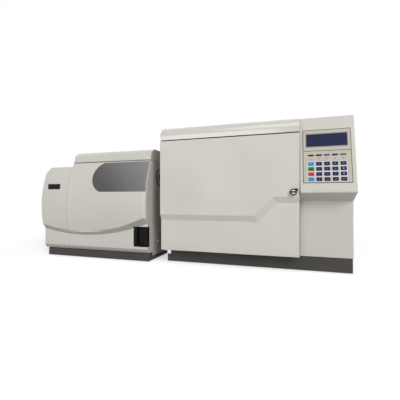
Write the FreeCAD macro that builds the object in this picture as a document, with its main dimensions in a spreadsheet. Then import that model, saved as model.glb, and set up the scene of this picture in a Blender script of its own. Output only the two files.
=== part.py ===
import FreeCAD, Part
import math
import os
import Sketcher

# Gas chromatograph mass spectrometer: a column oven cabinet on the right and a detector cabinet on the left.
# Millimetres. X to the right, front towards -Y, +Z up. Origin at the bottom centre of the whole instrument.

os.makedirs("parts", exist_ok=True)
doc = FreeCAD.newDocument("gcms")

driving = {
    # Both cabinets
    "gcWidth": 640, "gcHeight": 500, "gcDepth": 500, "unitGap": 51, "msWidth": 476, "rearReach": 30,
    "sheetWall": 1.5, "mouldWall": 3, "trayWall": 2, "fitGap": 0.3,
    # Plinths and feet
    "gcFoot": 3, "msFoot": 3, "footRadius": 15, "footInset": 40,
    "plinthTop": 50, "plinthInset": 9, "msPlinthTop": 32, "msPlinthInset": 7,
    # Oven door
    "doorWidth": 479, "doorDrop": 54.6, "doorFloorGap": 1, "doorBack": 5, "doorLower": 40, "doorUpper": 50,
    "doorSkin": 4, "doorPost": 26, "doorLatchPost": 36.4, "doorLedge": 16,
    "reliefLow": 161, "reliefHigh": 224, "reliefTurn": 350, "reliefRise": 409, "bevelRise": 20, "bevelShift": 12,
    "doorEdge": 3, "plugDepth": 20, "plugGap": 6, "plugPlate": 1.5,
    # Door hinge and latch
    "hingeInset": 12, "hingeFront": 22, "hingePin": 3, "bracketWall": 2, "bracketWidth": 22, "bracketTab": 17.6,
    "latchInset": 19, "latchZ": 259, "latchRadius": 10.5, "latchProud": 9, "latchShaft": 3, "latchEdge": 1,
    "latchWell": 7.5, "latchWellDeep": 2, "latchBarWide": 14, "latchBarHigh": 5, "latchBarProud": 2,
    "earReach": 13.1, "earLow": 3.2, "earDeep": 4.5, "camHalf": 14, "camWide": 5, "camWall": 2.5, "camWay": 3,
    # Oven
    "ovenInset": 60, "ovenWidth": 320, "ovenFloor": 110, "ovenDrop": 46, "ovenDepth": 233, "ovenWall": 14,
    "linerWall": 2, "ductInset": 250, "ductWidth": 80, "ductDrop": 70, "ductHeight": 55,
    "fanRadius": 74, "fanHub": 12, "fanDepth": 16, "fanWall": 1.5, "fanBack": 6, "fanShaft": 4, "fanBladeIn": 37,
    "shaftWay": 8, "motorRadius": 42, "motorNeck": 25.2, "motorBoss": 16.8, "motorLength": 78,
    "baffleBack": 30, "baffleMouth": 56, "baffleMargin": 14, "bafflePost": 3.6, "heaterRadius": 98, "heaterTube": 3,
    # Column, its cage and the injector
    "lineBack": 57, "lineZ": 322, "coilRadius": 85, "coilX": 225, "coilZ": 236, "coilWidth": 18, "coilWall": 4,
    "leadRadius": 0.9, "leadBend": 25, "leadReach": 30, "cageWall": 2.5, "cageSpoke": 7.5,
    "injectorBlock": 44, "injectorBody": 11, "injectorNeck": 6.6, "injectorFlange": 17, "injectorCap": 12,
    "injectorSeptum": 9, "injectorStep": 8, "injectorDrop": 14, "nutDrop": 15,
    # Top deck and its lid
    "deckDrop": 54, "deckWall": 2, "lidHeight": 51, "lidFront": 48, "lidDepth": 300, "lidGap": 3, "lidNose": 14,
    "lidRound": 44, "lidArc": 46.2, "lidWall": 2.5, "lidPinDrop": 5, "lidPin": 1.5, "lidPinReach": 22.4,
    "lidLug": 14, "lidLugInset": 50, "lidLugHalf": 3, "lidEar": 8.4, "lidNotch": 1,
    # Console and column moulding
    "columnGap": 2, "consoleReach": 57, "consoleHeight": 243, "consoleNose": 8, "consoleTuck": 2, "undercutDrop": 25,
    "consoleWall": 4, "mouldDepth": 25, "columnRound": 4,
    "overlayLeft": 8, "overlayWidth": 140, "overlayHeight": 177, "overlayDrop": 43, "overlayWall": 1,
    "wellProud": 2, "dividerDrop": 72, "displayWidth": 118, "displayHeight": 42, "displayDrop": 15, "displayDeep": 2,
    "lampDrop": 14.6, "lampLength": 12, "lampRadius": 2.8, "lampProud": 0.4,
    "keyInset": 24, "keyPitchX": 23, "keyPitchZ": 16.7, "keyDrop": 43, "keyWidth": 17, "keyHeight": 12.5,
    "keyProud": 0.8, "keyDeep": 2, "keyTravel": 0.5, "keyEdge": 1.5,
    # Detector cabinet
    "msSet": 36, "msDepth": 500, "podWidth": 124, "podGap": 1, "bowRadius": 380, "bowReach": 32, "bowZ": 205,
    "creaseZ": 347, "podTop": 371, "podNose": 22, "podStep": 36, "seamZ": 383, "seamGap": 1.5, "msTop": 430,
    "noseBack": 18, "noseZ": 408, "noseFlat": 60, "noseRound": 42, "coverBack": 30, "coverStep": 81,
    "cornerRound": 12, "lowerReach": 12, "tuckRise": 18, "tuckBack": 10, "tuckRound": 20,
    "smileX": 190, "smileZ": 112, "smileRadius": 820, "shelfRise": 18, "shelfDepth": 13, "coverDrop": 34,
    "sideDrop": 20, "sideSlotBack": 31, "sideSlotWide": 5, "sideSlotHigh": 9, "sideSlotLow": 234, "sideSlotPitch": 20,
    "coverStud": 4, "studInset": 20, "studTip": 7.5, "ribDepth": 13, "bulkheadBack": 36, "bulkheadFrame": 40,
    "windowTurn": 277, "windowLow": 264, "windowHigh": 379, "windowEnd": 61, "windowWall": 3, "windowSet": 0.8,
    "windowEdge": 3,
    "gripWidth": 58, "gripLow": 58, "gripHigh": 133, "gripCut": 10, "gripWall": 4, "gripRail": 12, "gripDeep": 14,
    "gripProud": 0.8,
    "switchX": 59, "switchZ": 287, "switchWidth": 57, "switchHeight": 20, "switchDeep": 16, "bezelRim": 2,
    "bezelFront": 4.4, "rockerWidth": 22, "rockerHeight": 14, "rockerFoot": 7, "rockerHigh": 1.8, "rockerLow": 0.2,
    "rockerEnd": 1.1, "rockerPivot": 5, "rockerPin": 1.2, "rockerPinReach": 1, "rockerGap": 3.5,
    "ringRadius": 35, "ringDeep": 12, "ringStep": 6, "ringFace": 30, "ringMouth": 23, "ringFloor": 21, "ringSeat": 5,
    "lineRadius": 16, "lineNeck": 10, "lineTip": 5, "lineEntry": 60,
    "manifoldLeft": 150, "manifoldLength": 300, "manifoldWidth": 110, "manifoldHeight": 100, "manifoldEdge": 4,
    "manifoldPlate": 5, "pumpRadius": 55, "pumpHeight": 130, "pumpFoot": 27.5, "pumpBody": 47, "pumpNeck": 38.5,
    "pumpFlange": 10, "pumpCollar": 20, "boardWall": 2, "boardInset": 12, "boardMargin": 50, "boardFront": 75,
    "partsRise": 24, "partsFront": 125, "partsLong": 75, "partsLow": 100, "partsHigh": 200,
    # Fittings at the rear
    "foreRadius": 12.5, "foreFlange": 20, "foreBore": 9.4, "foreInset": 58, "rearRow": 100,
    "inletWidth": 48, "inletHeight": 28, "inletDeep": 22, "inletInset": 58,
    "grilleRadius": 40, "grilleRim": 3.2, "grillePitch": 8, "grilleSlot": 4.8, "grilleInset": 285,
    "gasInset": 80, "gasPitch": 40, "gasRow": 80, "gasNut": 12, "gasNutRadius": 8, "gasStem": 5,
    "flapInset": 3, "flapWall": 1.5, "flapPin": 2,
}
driving = {name: float(value) for name, value in driving.items()}
sheet = doc.addObject("Spreadsheet::Sheet", "Sizes")
for row, (alias, value) in enumerate(driving.items(), start=1):
    sheet.set("A%d" % row, alias)
    sheet.set("B%d" % row, "%g" % value)
    sheet.setAlias("B%d" % row, alias)
doc.recompute()


# A length that carries its number and the expression that binds it to the sheet
class Size:
    def __init__(self, value, text):
        self.value = float(value)
        self.text = text

    def join(self, sign, other, swap=False):
        other = other if isinstance(other, Size) else Size(other, "%.9g" % other)
        first, second = (other, self) if swap else (self, other)
        if sign == "+":
            value = first.value + second.value
        elif sign == "-":
            value = first.value - second.value
        elif sign == "*":
            value = first.value * second.value
        else:
            value = first.value / second.value
        return Size(value, "(%s %s %s)" % (first.text, sign, second.text))

    def __add__(self, other):
        return self.join("+", other)

    def __radd__(self, other):
        return self.join("+", other, True)

    def __sub__(self, other):
        return self.join("-", other)

    def __rsub__(self, other):
        return self.join("-", other, True)

    def __mul__(self, other):
        return self.join("*", other)

    def __rmul__(self, other):
        return self.join("*", other, True)

    def __truediv__(self, other):
        return self.join("/", other)

    def __neg__(self):
        return self.join("*", -1)


def root(size):
    return Size(math.sqrt(size.value), "sqrt(%s)" % size.text)


class Sheet:
    def __getattr__(self, alias):
        return Size(driving[alias], "Sizes.%s" % alias)


S = Sheet()
NONE = Size(0, "0")

# How near an edge lies to a plane, and how flat it is, when edges are picked for rounding
NEAR = 0.05
FLAT = 0.01

# Places worked out from the driving sizes
total = S.gcWidth + S.unitGap + S.msWidth
gcRight = total / 2
gcLeft = gcRight - S.gcWidth
msLeft = -total / 2
msRight = msLeft + S.msWidth
frontReach = S.msSet + S.bowReach
face = (frontReach - S.gcDepth - S.rearReach) / 2
gcBack = face + S.gcDepth
doorRight = gcLeft + S.doorWidth
doorTop = S.gcHeight - S.doorDrop
deckZ = S.gcHeight - S.deckDrop
lidLow = S.gcHeight - S.lidHeight
consoleLip = S.gcHeight - S.consoleHeight
undercut = consoleLip - S.undercutDrop
columnLeft = doorRight + S.columnGap
msFace = face - S.msSet
msBack = msFace + S.msDepth + S.msSet
seamX = msLeft + S.podWidth
coverLeft = seamX + S.podGap
ovenLeft = gcLeft + S.ovenInset
ovenRight = ovenLeft + S.ovenWidth
ovenTop = deckZ - S.ovenDrop
ductLow = ovenTop - S.ductDrop
injectorNut = ovenTop - S.nutDrop
injectorTop = S.gcHeight - S.injectorDrop
ovenFront = face + S.deckWall
ovenBack = ovenFront + S.ovenDepth
linerBack = ovenBack + S.ovenWall
fanX = ovenLeft + S.ovenWidth / 2
fanZ = (S.ovenFloor + ovenTop) / 2
lineY = face + S.lineBack
slopeRise = S.gcHeight - consoleLip
slopeLength = root(slopeRise * slopeRise + S.consoleReach * S.consoleReach)
slopeCos = slopeRise / slopeLength
slopeSin = S.consoleReach / slopeLength
slopeTilt = Size(-math.degrees(math.acos(slopeCos.value)), "-acos(%s)" % slopeCos.text)


# Binding and plain shapes
def bind(thing, prop, size):
    if isinstance(size, Size):
        if "." not in prop and "[" not in prop:
            setattr(thing, prop, size.value)
        thing.setExpression(prop, size.text)
    else:
        setattr(thing, prop, size)


def place(thing, x, y, z):
    for axis, size in zip("xyz", (x, y, z)):
        bind(thing, "Placement.Base." + axis, size if isinstance(size, Size) else Size(size, "%g" % size))
    return thing


def block(name, x0, x1, y0, y1, z0, z1):
    thing = doc.addObject("Part::Box", name)
    bind(thing, "Length", x1 - x0)
    bind(thing, "Width", y1 - y0)
    bind(thing, "Height", z1 - z0)
    return place(thing, x0, y0, z0)


TURN = {"X": FreeCAD.Rotation(FreeCAD.Vector(0, 1, 0), 90),
        "Y": FreeCAD.Rotation(FreeCAD.Vector(1, 0, 0), -90),
        "Z": FreeCAD.Rotation()}


def rod(name, axis, x, y, z, length, radius):
    thing = doc.addObject("Part::Cylinder", name)
    bind(thing, "Radius", radius)
    bind(thing, "Height", length)
    thing.Placement = FreeCAD.Placement(FreeCAD.Vector(), TURN[axis])
    return place(thing, x, y, z)


def ring(name, axis, x, y, z, radius, tube):
    thing = doc.addObject("Part::Torus", name)
    bind(thing, "Radius1", radius)
    bind(thing, "Radius2", tube)
    thing.Placement = FreeCAD.Placement(FreeCAD.Vector(), TURN[axis])
    return place(thing, x, y, z)


def fuse(name, *things):
    if len(things) == 1:
        return things[0]
    thing = doc.addObject("Part::MultiFuse", name)
    thing.Shapes = list(things)
    return thing


# A group of pieces that stay separate solids
def group(name, *things):
    thing = doc.addObject("Part::Compound", name)
    thing.Links = list(things)
    return thing


def cut(name, base, *tools):
    thing = doc.addObject("Part::Cut", name)
    thing.Base = base
    thing.Tool = fuse(name + "Tools", *tools)
    return thing


def common(name, base, tool):
    thing = doc.addObject("Part::Common", name)
    thing.Base = base
    thing.Tool = tool
    return thing


# Sketched bodies. A plane is XY, XZ or YZ; a prism runs between two places along the third axis.
def new_body(name):
    return doc.addObject("PartDesign::Body", name)


def origin_plane(body, plane):
    return next(item for item in body.Origin.OriginFeatures if item.Role == plane + "_Plane")


def new_sketch(body, plane, at, shift=(0, 0)):
    sketch = body.newObject("Sketcher::SketchObject", body.Name + "Sketch")
    sketch.AttachmentSupport = [(origin_plane(body, plane), "")]
    sketch.MapMode = "FlatFace"
    offset = -at if plane == "XZ" else at
    for axis, size in zip("xyz", (shift[0], shift[1], offset)):
        if isinstance(size, Size):
            sketch.setExpression("AttachmentOffset.Base." + axis, size.text)
    return sketch


def fix(sketch, kind, geo, pos, size):
    size = size if isinstance(size, Size) else Size(size, "%.9g" % size)
    index = sketch.addConstraint(Sketcher.Constraint(kind, -1, 1, geo, pos, size.value))
    sketch.setExpression("Constraints[%d]" % index, size.text)


def number(size):
    return size.value if isinstance(size, Size) else float(size)


# A closed outline of corners. An arc is named by the corner it starts from, with its radius: plus bulges to the
# right of the way round and minus to the left.
def draw_outline(sketch, corners, arcs=None):
    arcs = arcs or {}
    ends = []
    count = len(corners)
    for i, corner in enumerate(corners):
        a = FreeCAD.Vector(number(corner[0]), number(corner[1]), 0)
        following = corners[(i + 1) % count]
        b = FreeCAD.Vector(number(following[0]), number(following[1]), 0)
        if i not in arcs:
            geo = sketch.addGeometry(Part.LineSegment(a, b), False)
            ends.append((geo, 1, 2))
            continue
        radius = abs(number(arcs[i]))
        side = 1 if number(arcs[i]) > 0 else -1
        along = (b - a).normalize()
        left = FreeCAD.Vector(-along.y, along.x, 0)
        half = (b - a).Length / 2
        centre = (a + b) * 0.5 + left * (side * math.sqrt(max(radius * radius - half * half, 0)))
        start, stop = (a, b) if side > 0 else (b, a)
        first = math.atan2(start.y - centre.y, start.x - centre.x)
        last = math.atan2(stop.y - centre.y, stop.x - centre.x)
        last = last if last > first else last + 2 * math.pi
        circle = Part.Circle(centre, FreeCAD.Vector(0, 0, 1), radius)
        geo = sketch.addGeometry(Part.ArcOfCircle(circle, first, last), False)
        ends.append((geo, 1, 2) if side > 0 else (geo, 2, 1))
        index = sketch.addConstraint(Sketcher.Constraint("Radius", geo, radius))
        bound = arcs[i] if number(arcs[i]) > 0 else -arcs[i]
        sketch.setExpression("Constraints[%d]" % index, bound.text)
    for i in range(count):
        geo, start, stop = ends[i]
        after, begin, _ = ends[(i + 1) % count]
        sketch.addConstraint(Sketcher.Constraint("Coincident", geo, stop, after, begin))
        fix(sketch, "DistanceX", geo, start, corners[i][0])
        fix(sketch, "DistanceY", geo, start, corners[i][1])


def draw_circle(sketch, u, v, radius):
    circle = Part.Circle(FreeCAD.Vector(number(u), number(v), 0), FreeCAD.Vector(0, 0, 1), number(radius))
    geo = sketch.addGeometry(circle, False)
    fix(sketch, "DistanceX", geo, 3, u)
    fix(sketch, "DistanceY", geo, 3, v)
    index = sketch.addConstraint(Sketcher.Constraint("Radius", geo, number(radius)))
    sketch.setExpression("Constraints[%d]" % index, radius.text)


def pad(body, plane, low, high, corners, arcs=None):
    sketch = new_sketch(body, plane, high if plane == "XZ" else low)
    draw_outline(sketch, corners, arcs)
    return pad_sketch(body, sketch, high - low)


def pad_sketch(body, sketch, length):
    feature = body.newObject("PartDesign::Pad", body.Name + "Pad")
    feature.Profile = sketch
    bind(feature, "Length", length)
    return feature


def pocket(body, plane, low, high, corners, arcs=None):
    sketch = new_sketch(body, plane, low if plane == "XZ" else high)
    draw_outline(sketch, corners, arcs)
    return pocket_sketch(body, sketch, high - low)


def pocket_sketch(body, sketch, depth):
    feature = body.newObject("PartDesign::Pocket", body.Name + "Pocket")
    feature.Profile = sketch
    bind(feature, "Length", depth)
    return feature


def bore(body, plane, low, high, u, v, radius):
    sketch = new_sketch(body, plane, low if plane == "XZ" else high)
    draw_circle(sketch, u, v, radius)
    return pocket_sketch(body, sketch, high - low)


def boss(body, plane, low, high, u, v, radius):
    sketch = new_sketch(body, plane, high if plane == "XZ" else low)
    draw_circle(sketch, u, v, radius)
    return pad_sketch(body, sketch, high - low)


def rectangle(u0, u1, v0, v1):
    return [(u0, v0), (u1, v0), (u1, v1), (u0, v1)]


def loft(body, kind, plane, stations):
    sketches = []
    for at, corners, arcs in stations:
        sketch = new_sketch(body, plane, at)
        draw_outline(sketch, corners, arcs)
        sketches.append(sketch)
    feature = body.newObject("PartDesign::" + kind, body.Name + "Loft")
    feature.Profile = sketches[0]
    feature.Sections = sketches[1:]
    feature.Ruled = True
    return feature


# Round the edges of the last feature that a test picks
def fillet(body, radius, picks):
    doc.recompute()
    base = body.Tip
    names = ["Edge%d" % i for i, edge in enumerate(base.Shape.Edges, start=1) if picks(edge)]
    feature = body.newObject("PartDesign::Fillet", body.Name + "Fillet")
    feature.Base = (base, names)
    bind(feature, "Radius", radius)
    return feature


def upright(edge, x=None, y=None):
    box = edge.BoundBox
    flat = box.XLength < FLAT and box.YLength < FLAT
    near_x = x is None or abs(box.XMin - number(x)) < NEAR
    near_y = y is None or abs(box.YMin - number(y)) < NEAR
    return flat and near_x and near_y


# A body turned about its own axis, from pairs of place along the axis and radius
def turned(name, axis, x, y, z, profile):
    body = new_body(name)
    if axis == "X":
        sketch = new_sketch(body, "XZ", y, (x, z))
        corners = profile
    elif axis == "Y":
        sketch = new_sketch(body, "XY", z, (x, y))
        corners = [(radius, along) for along, radius in profile]
    else:
        sketch = new_sketch(body, "XZ", y, (x, z))
        corners = [(radius, along) for along, radius in profile]
    draw_outline(sketch, corners)
    feature = body.newObject("PartDesign::Revolution", name + "Turn")
    feature.Profile = sketch
    feature.ReferenceAxis = (sketch, ["H_Axis"] if axis == "X" else ["V_Axis"])
    feature.Angle = 360
    return body


# Feet and plinths
def rubber_feet():
    feet = []
    for name, left, right, front, back, height in (
            ("gcFoot", gcLeft, gcRight, face, gcBack, S.gcFoot),
            ("msFoot", msLeft, msRight, msFace, msBack, S.msFoot)):
        for x in (left + S.footInset, right - S.footInset):
            for y in (front + S.footInset, back - S.footInset):
                feet.append(rod(name, "Z", x, y, NONE, height, S.footRadius))
    return group("rubber_feet", *feet)


def tray(name, left, right, front, back, low, high):
    body = new_body(name)
    pad(body, "XY", low, high, rectangle(left, right, front, back))
    wall = S.trayWall
    pocket(body, "XY", low + wall, high, rectangle(left + wall, right - wall, front + wall, back - wall))
    return body


def gc_plinth():
    return tray("gc_plinth", gcLeft + S.plinthInset, gcRight - S.sheetWall, face, gcBack - S.sheetWall,
                S.gcFoot, S.plinthTop)


def ms_plinth():
    left = msLeft + S.msPlinthInset
    right = msRight - S.sheetWall
    base = tray("msBase", left, right, msFace, msBack - S.sheetWall, S.msFoot, S.msPlinthTop)
    back = msFace + S.bulkheadBack
    plate = new_body("msBulkhead")
    top = S.seamZ - S.seamGap
    pad(plate, "XZ", back, back + S.trayWall, rectangle(coverLeft + S.mouldWall, right, S.msPlinthTop, top))
    frame = S.bulkheadFrame
    pocket(plate, "XZ", back, back + S.trayWall,
           rectangle(coverLeft + frame, right - frame, S.msPlinthTop + frame, top - frame))
    for x, z in stud_places():
        bore(plate, "XZ", back, back + S.trayWall, x, z, S.coverStud + S.fitGap)
    return fuse("ms_plinth", base, plate)


# Sheet metal of the oven cabinet
def gc_left_panel():
    body = new_body("gc_left_panel")
    right = gcLeft + S.sheetWall
    pad(body, "YZ", gcLeft, right, rectangle(face, gcBack - S.sheetWall, S.plinthTop, deckZ))
    bore(body, "YZ", gcLeft, right, lineY, S.lineZ, S.lineRadius + S.fitGap)
    return body


def gc_right_panel():
    front = face + S.mouldDepth
    back = gcBack - S.sheetWall
    side = block("gcRightSide", gcRight - S.sheetWall, gcRight, front, back, S.plinthTop, S.gcHeight)
    top = block("gcRightTop", columnLeft, gcRight - S.sheetWall, front, back, S.gcHeight - S.sheetWall,
                S.gcHeight)
    return fuse("gc_right_panel", side, top)


def gc_rear_panel():
    back = new_body("gcRearSheet")
    front = gcBack - S.sheetWall
    pad(back, "XZ", front, gcBack, rectangle(gcLeft, gcRight, S.plinthTop, S.gcHeight))
    ductLeft = gcLeft + S.ductInset
    pocket(back, "XZ", front, gcBack,
           rectangle(ductLeft, ductLeft + S.ductWidth, ductLow, ductLow + S.ductHeight))
    hoodFront = face + S.lidDepth + S.lidGap
    roof = block("gcHoodRoof", gcLeft, doorRight, hoodFront, front, S.gcHeight - S.sheetWall, S.gcHeight)
    cheek = block("gcHoodCheek", gcLeft, gcLeft + S.sheetWall, hoodFront, front, deckZ,
                  S.gcHeight - S.sheetWall)
    step = block("gcHoodStep", gcLeft + S.sheetWall, doorRight, hoodFront, hoodFront + S.sheetWall, deckZ,
                 S.gcHeight - S.sheetWall)
    return fuse("gc_rear_panel", back, roof, cheek, step)


def gc_front_frame():
    plate = new_body("gcFrontSheet")
    left = gcLeft + S.sheetWall
    pad(plate, "XZ", face, face + S.deckWall, rectangle(left, doorRight, S.plinthTop, deckZ))
    pocket(plate, "XZ", face, face + S.deckWall, rectangle(ovenLeft, ovenRight, S.ovenFloor, ovenTop))
    slotX = doorRight - S.latchInset
    slotHalf = (S.camWide + S.camWay) / 2
    reach = S.camHalf + S.camWay
    pocket(plate, "XZ", face, face + S.deckWall,
           rectangle(slotX - slotHalf, slotX + slotHalf, S.latchZ - reach, S.latchZ + reach))
    deck = new_body("gcDeckSheet")
    back = face + S.lidDepth
    pad(deck, "XY", deckZ - S.deckWall, deckZ, rectangle(left, doorRight, face + S.deckWall, back))
    bore(deck, "XY", deckZ - S.deckWall, deckZ, injectorX, lineY, S.injectorBody + S.fitGap)
    return fuse("gc_front_frame", plate, deck)


# Console wedge and column front, one moulding
def console_profile(inset):
    nose = S.consoleNose
    back = face + S.mouldDepth
    return [
        (back, S.gcHeight - inset),
        (face + inset * slopeCos, S.gcHeight - inset),
        (face - S.consoleReach + inset, consoleLip + inset * slopeSin),
        (face - S.consoleReach + inset + S.consoleTuck, consoleLip - nose + inset * slopeSin),
        (face + inset, undercut),
        (face + inset, S.plinthTop + inset),
        (back, S.plinthTop + inset),
    ]


def on_slope(x, out, down):
    # A place on the sloping face: out is how far it stands proud, down is measured along the slope
    return (x, face - out * slopeCos - down * slopeSin, S.gcHeight + out * slopeSin - down * slopeCos)


def tilt(thing, x, out, down):
    angle = slopeTilt.value
    thing.Placement = FreeCAD.Placement(FreeCAD.Vector(), FreeCAD.Rotation(FreeCAD.Vector(1, 0, 0), angle))
    thing.setExpression("Placement.Rotation.Angle", slopeTilt.text)
    return place(thing, *on_slope(x, out, down))


def slope_block(name, x0, x1, proud, deep, top, bottom):
    thing = doc.addObject("Part::Box", name)
    bind(thing, "Length", x1 - x0)
    bind(thing, "Width", proud + deep)
    bind(thing, "Height", bottom - top)
    return tilt(thing, x0, proud, bottom)


overlayX = columnLeft + S.overlayLeft
divider = S.overlayDrop + S.dividerDrop
displayX = overlayX + (S.overlayWidth - S.displayWidth) / 2
displayTop = S.overlayDrop + S.displayDrop
KEY_ROWS = 4
KEY_COLUMNS = 5


def key_place(row, column):
    x = overlayX + S.keyInset + S.keyPitchX * column - S.keyWidth / 2
    top = divider + S.keyDrop + S.keyPitchZ * row - S.keyHeight / 2
    return x, top


def key_wells():
    wells = []
    gap = S.fitGap
    for row in range(KEY_ROWS):
        for column in range(KEY_COLUMNS):
            x, top = key_place(row, column)
            deep = S.keyDeep + S.keyTravel + gap
            wells.append(slope_block("keyWell", x - gap, x + S.keyWidth + gap, S.wellProud, deep,
                                     top - gap, top + S.keyHeight + gap))
    return fuse("keyWells", *wells)


def display_well():
    gap = S.fitGap
    return slope_block("displayWell", displayX - gap, displayX + S.displayWidth + gap, S.wellProud,
                       S.displayDeep, displayTop - gap, displayTop + S.displayHeight + gap)


def lamp(name, column, gap, proud, deep):
    x = overlayX + S.keyInset + S.keyPitchX * column
    half = S.lampLength / 2
    row = divider + S.lampDrop
    radius = S.lampRadius + gap
    bar = slope_block(name + "Bar", x - half, x + half, proud, deep, row - radius, row + radius)
    ends = []
    for end in (x - half, x + half):
        cap = doc.addObject("Part::Cylinder", name + "End")
        bind(cap, "Radius", radius)
        bind(cap, "Height", proud + deep)
        # The lamp's round end stands square to the slope
        cap.Placement = FreeCAD.Placement(FreeCAD.Vector(), FreeCAD.Rotation(FreeCAD.Vector(1, 0, 0), -90))
        cap.setExpression("Placement.Rotation.Angle", "%s - 90 deg" % slopeTilt.text)
        ends.append(place(cap, *on_slope(end, proud, row)))
    return fuse(name, bar, *ends)


def lamp_wells():
    return fuse("lampWells", *[lamp("lampWell", column, S.fitGap, S.wellProud, S.displayDeep)
                               for column in range(KEY_COLUMNS)])


def console_housing(wells):
    body = new_body("consoleMould")
    pad(body, "YZ", columnLeft, gcRight, console_profile(NONE))
    fillet(body, S.columnRound, lambda edge: upright(edge, x=columnLeft, y=face))
    pocket(body, "YZ", columnLeft + S.consoleWall, gcRight - S.consoleWall, console_profile(S.consoleWall))
    return cut("console_housing", body, *wells)


def console_overlay(wells):
    plate = slope_block("overlayPlate", overlayX, overlayX + S.overlayWidth, S.overlayWall, NONE,
                        S.overlayDrop, S.overlayDrop + S.overlayHeight)
    return cut("console_overlay", plate, *wells)


def display_window():
    return slope_block("display_window", displayX, displayX + S.displayWidth, S.overlayWall - S.fitGap,
                       S.displayDeep, displayTop, displayTop + S.displayHeight)


def status_lamps():
    return group("status_lamps", *[lamp("statusLamp", column, NONE, S.overlayWall + S.lampProud,
                                        S.displayDeep) for column in range(KEY_COLUMNS)])


def key(row, column):
    x, top = key_place(row, column)
    name = "key_r%d_c%d" % (row + 1, column + 1)
    body = new_body(name)
    proud = S.overlayWall + S.keyProud
    sketch = new_sketch(body, "XZ", S.keyDeep + proud)
    draw_outline(sketch, rectangle(NONE, S.keyWidth, NONE, S.keyHeight))
    pad_sketch(body, sketch, S.keyDeep + proud)
    fillet(body, S.keyEdge, lambda edge: upright_local(edge))
    return tilt(body, x, proud, top + S.keyHeight)


def upright_local(edge):
    box = edge.BoundBox
    return box.XLength < FLAT and box.ZLength < FLAT


# Oven door: a pressed front with a stepped relief, hollow behind
def oven_door():
    body = new_body("oven_door")
    low = S.plinthTop + S.doorFloorGap
    back = face - S.doorBack
    step = face - S.doorLower
    front = face - S.doorUpper
    pad(body, "XZ", step, back, rectangle(gcLeft, doorRight, low, doorTop))
    loft(body, "AdditiveLoft", "XZ", [
        (step, relief_outline(NONE, NONE), None),
        (front, relief_outline(S.bevelRise, S.bevelShift), None)])
    hollow = step + S.doorSkin
    pocket(body, "XZ", hollow, back,
           rectangle(gcLeft + S.doorPost, doorRight - S.doorLatchPost, low + S.doorLedge,
                     doorTop - S.doorLedge))
    pocket(body, "XZ", front + S.doorSkin, hollow,
           rectangle(gcLeft + S.doorPost, doorRight - S.doorLatchPost, S.reliefHigh + S.bevelRise,
                     doorTop - S.doorLedge))
    pinY = face - S.hingeFront
    pinX = gcLeft + S.hingeInset
    hole = S.hingePin + S.fitGap
    deep = S.doorPost
    bore(body, "XY", doorTop - deep, doorTop, pinX, pinY, hole)
    sketch = new_sketch(body, "XY", low)
    draw_circle(sketch, pinX, pinY, hole)
    lower = pocket_sketch(body, sketch, deep)
    lower.Reversed = True
    bore(body, "XZ", front, back, doorRight - S.latchInset, S.latchZ, S.latchShaft + S.fitGap)
    fillet(body, S.doorEdge, lambda edge: on_door_side(edge, step))
    return body


# The front corners of the door's two sides, down past the relief
def on_door_side(edge, step):
    box = edge.BoundBox
    flat = box.XLength < FLAT and box.ZLength > S.bevelRise.value / 2
    sides = min(abs(box.XMin - gcLeft.value), abs(box.XMin - doorRight.value)) < NEAR
    return flat and sides and box.YMax < step.value + NEAR


def relief_outline(rise, shift):
    return [(gcLeft, S.reliefLow + rise), (gcLeft + S.reliefTurn - shift, S.reliefLow + rise),
            (gcLeft + S.reliefRise - shift, S.reliefHigh + rise), (doorRight, S.reliefHigh + rise),
            (doorRight, doorTop), (gcLeft, doorTop)]


def oven_door_plug():
    back = face - S.doorBack
    low = S.plinthTop + S.doorFloorGap
    gap = S.plugGap
    front = face - S.doorLower + S.doorSkin
    end = face + S.plugDepth
    pan = new_body("plugPan")
    wall = S.plugPlate
    pad(pan, "XZ", front, end, rectangle(ovenLeft + gap, ovenRight - gap, S.ovenFloor + gap, ovenTop - gap))
    inside = rectangle(ovenLeft + gap + wall, ovenRight - gap - wall, S.ovenFloor + gap + wall, ovenTop - gap - wall)
    pocket(pan, "XZ", front, end - wall, inside)
    plate = new_body("plugPlate")
    pad(plate, "XZ", back - wall, back, rectangle(gcLeft + S.doorPost, doorRight - S.doorLatchPost,
                                                  low + S.doorLedge, doorTop - S.doorLedge))
    pocket(plate, "XZ", back - wall, back, inside)
    return fuse("oven_door_plug", pan, plate)


# Thumb-turn latch: a knob with a rim, a bar across its well and an ear, its shaft through the door, a cam behind
def door_latch_knob():
    x = doorRight - S.latchInset
    front = face - S.doorUpper
    tip = front - S.latchProud
    depth = S.latchProud - S.fitGap
    knob = turned("latchDisc", "Y", x, tip, S.latchZ, [
        (S.latchWellDeep, NONE), (S.latchWellDeep, S.latchWell - S.latchEdge), (NONE, S.latchWell),
        (NONE, S.latchRadius - S.latchEdge), (S.latchEdge, S.latchRadius), (depth, S.latchRadius), (depth, NONE)])
    ear = block("latchEar", x, x + S.earReach, tip, tip + S.earDeep, S.latchZ + S.earLow, S.latchZ + S.latchRadius)
    well = rod("latchEarWay", "Y", x, tip - S.latchEdge, S.latchZ, S.latchEdge + S.latchWellDeep, S.latchWell)
    half = S.latchBarWide / 2
    grip = block("latchGrip", x - half, x + half, tip - S.latchBarProud, tip + S.latchWellDeep + S.latchEdge,
                 S.latchZ - S.latchBarHigh / 2, S.latchZ + S.latchBarHigh / 2)
    camFront = face + S.deckWall + S.fitGap * 2
    shaft = rod("latchShaft", "Y", x, front - S.fitGap, S.latchZ, camFront - front + S.fitGap, S.latchShaft)
    cam = block("latchCam", x - S.camWide / 2, x + S.camWide / 2, camFront, camFront + S.camWall,
                S.latchZ - S.camHalf, S.latchZ + S.camHalf)
    return fuse("door_latch_knob", knob, cut("latchEarTrim", ear, well), grip, shaft, cam)


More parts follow.
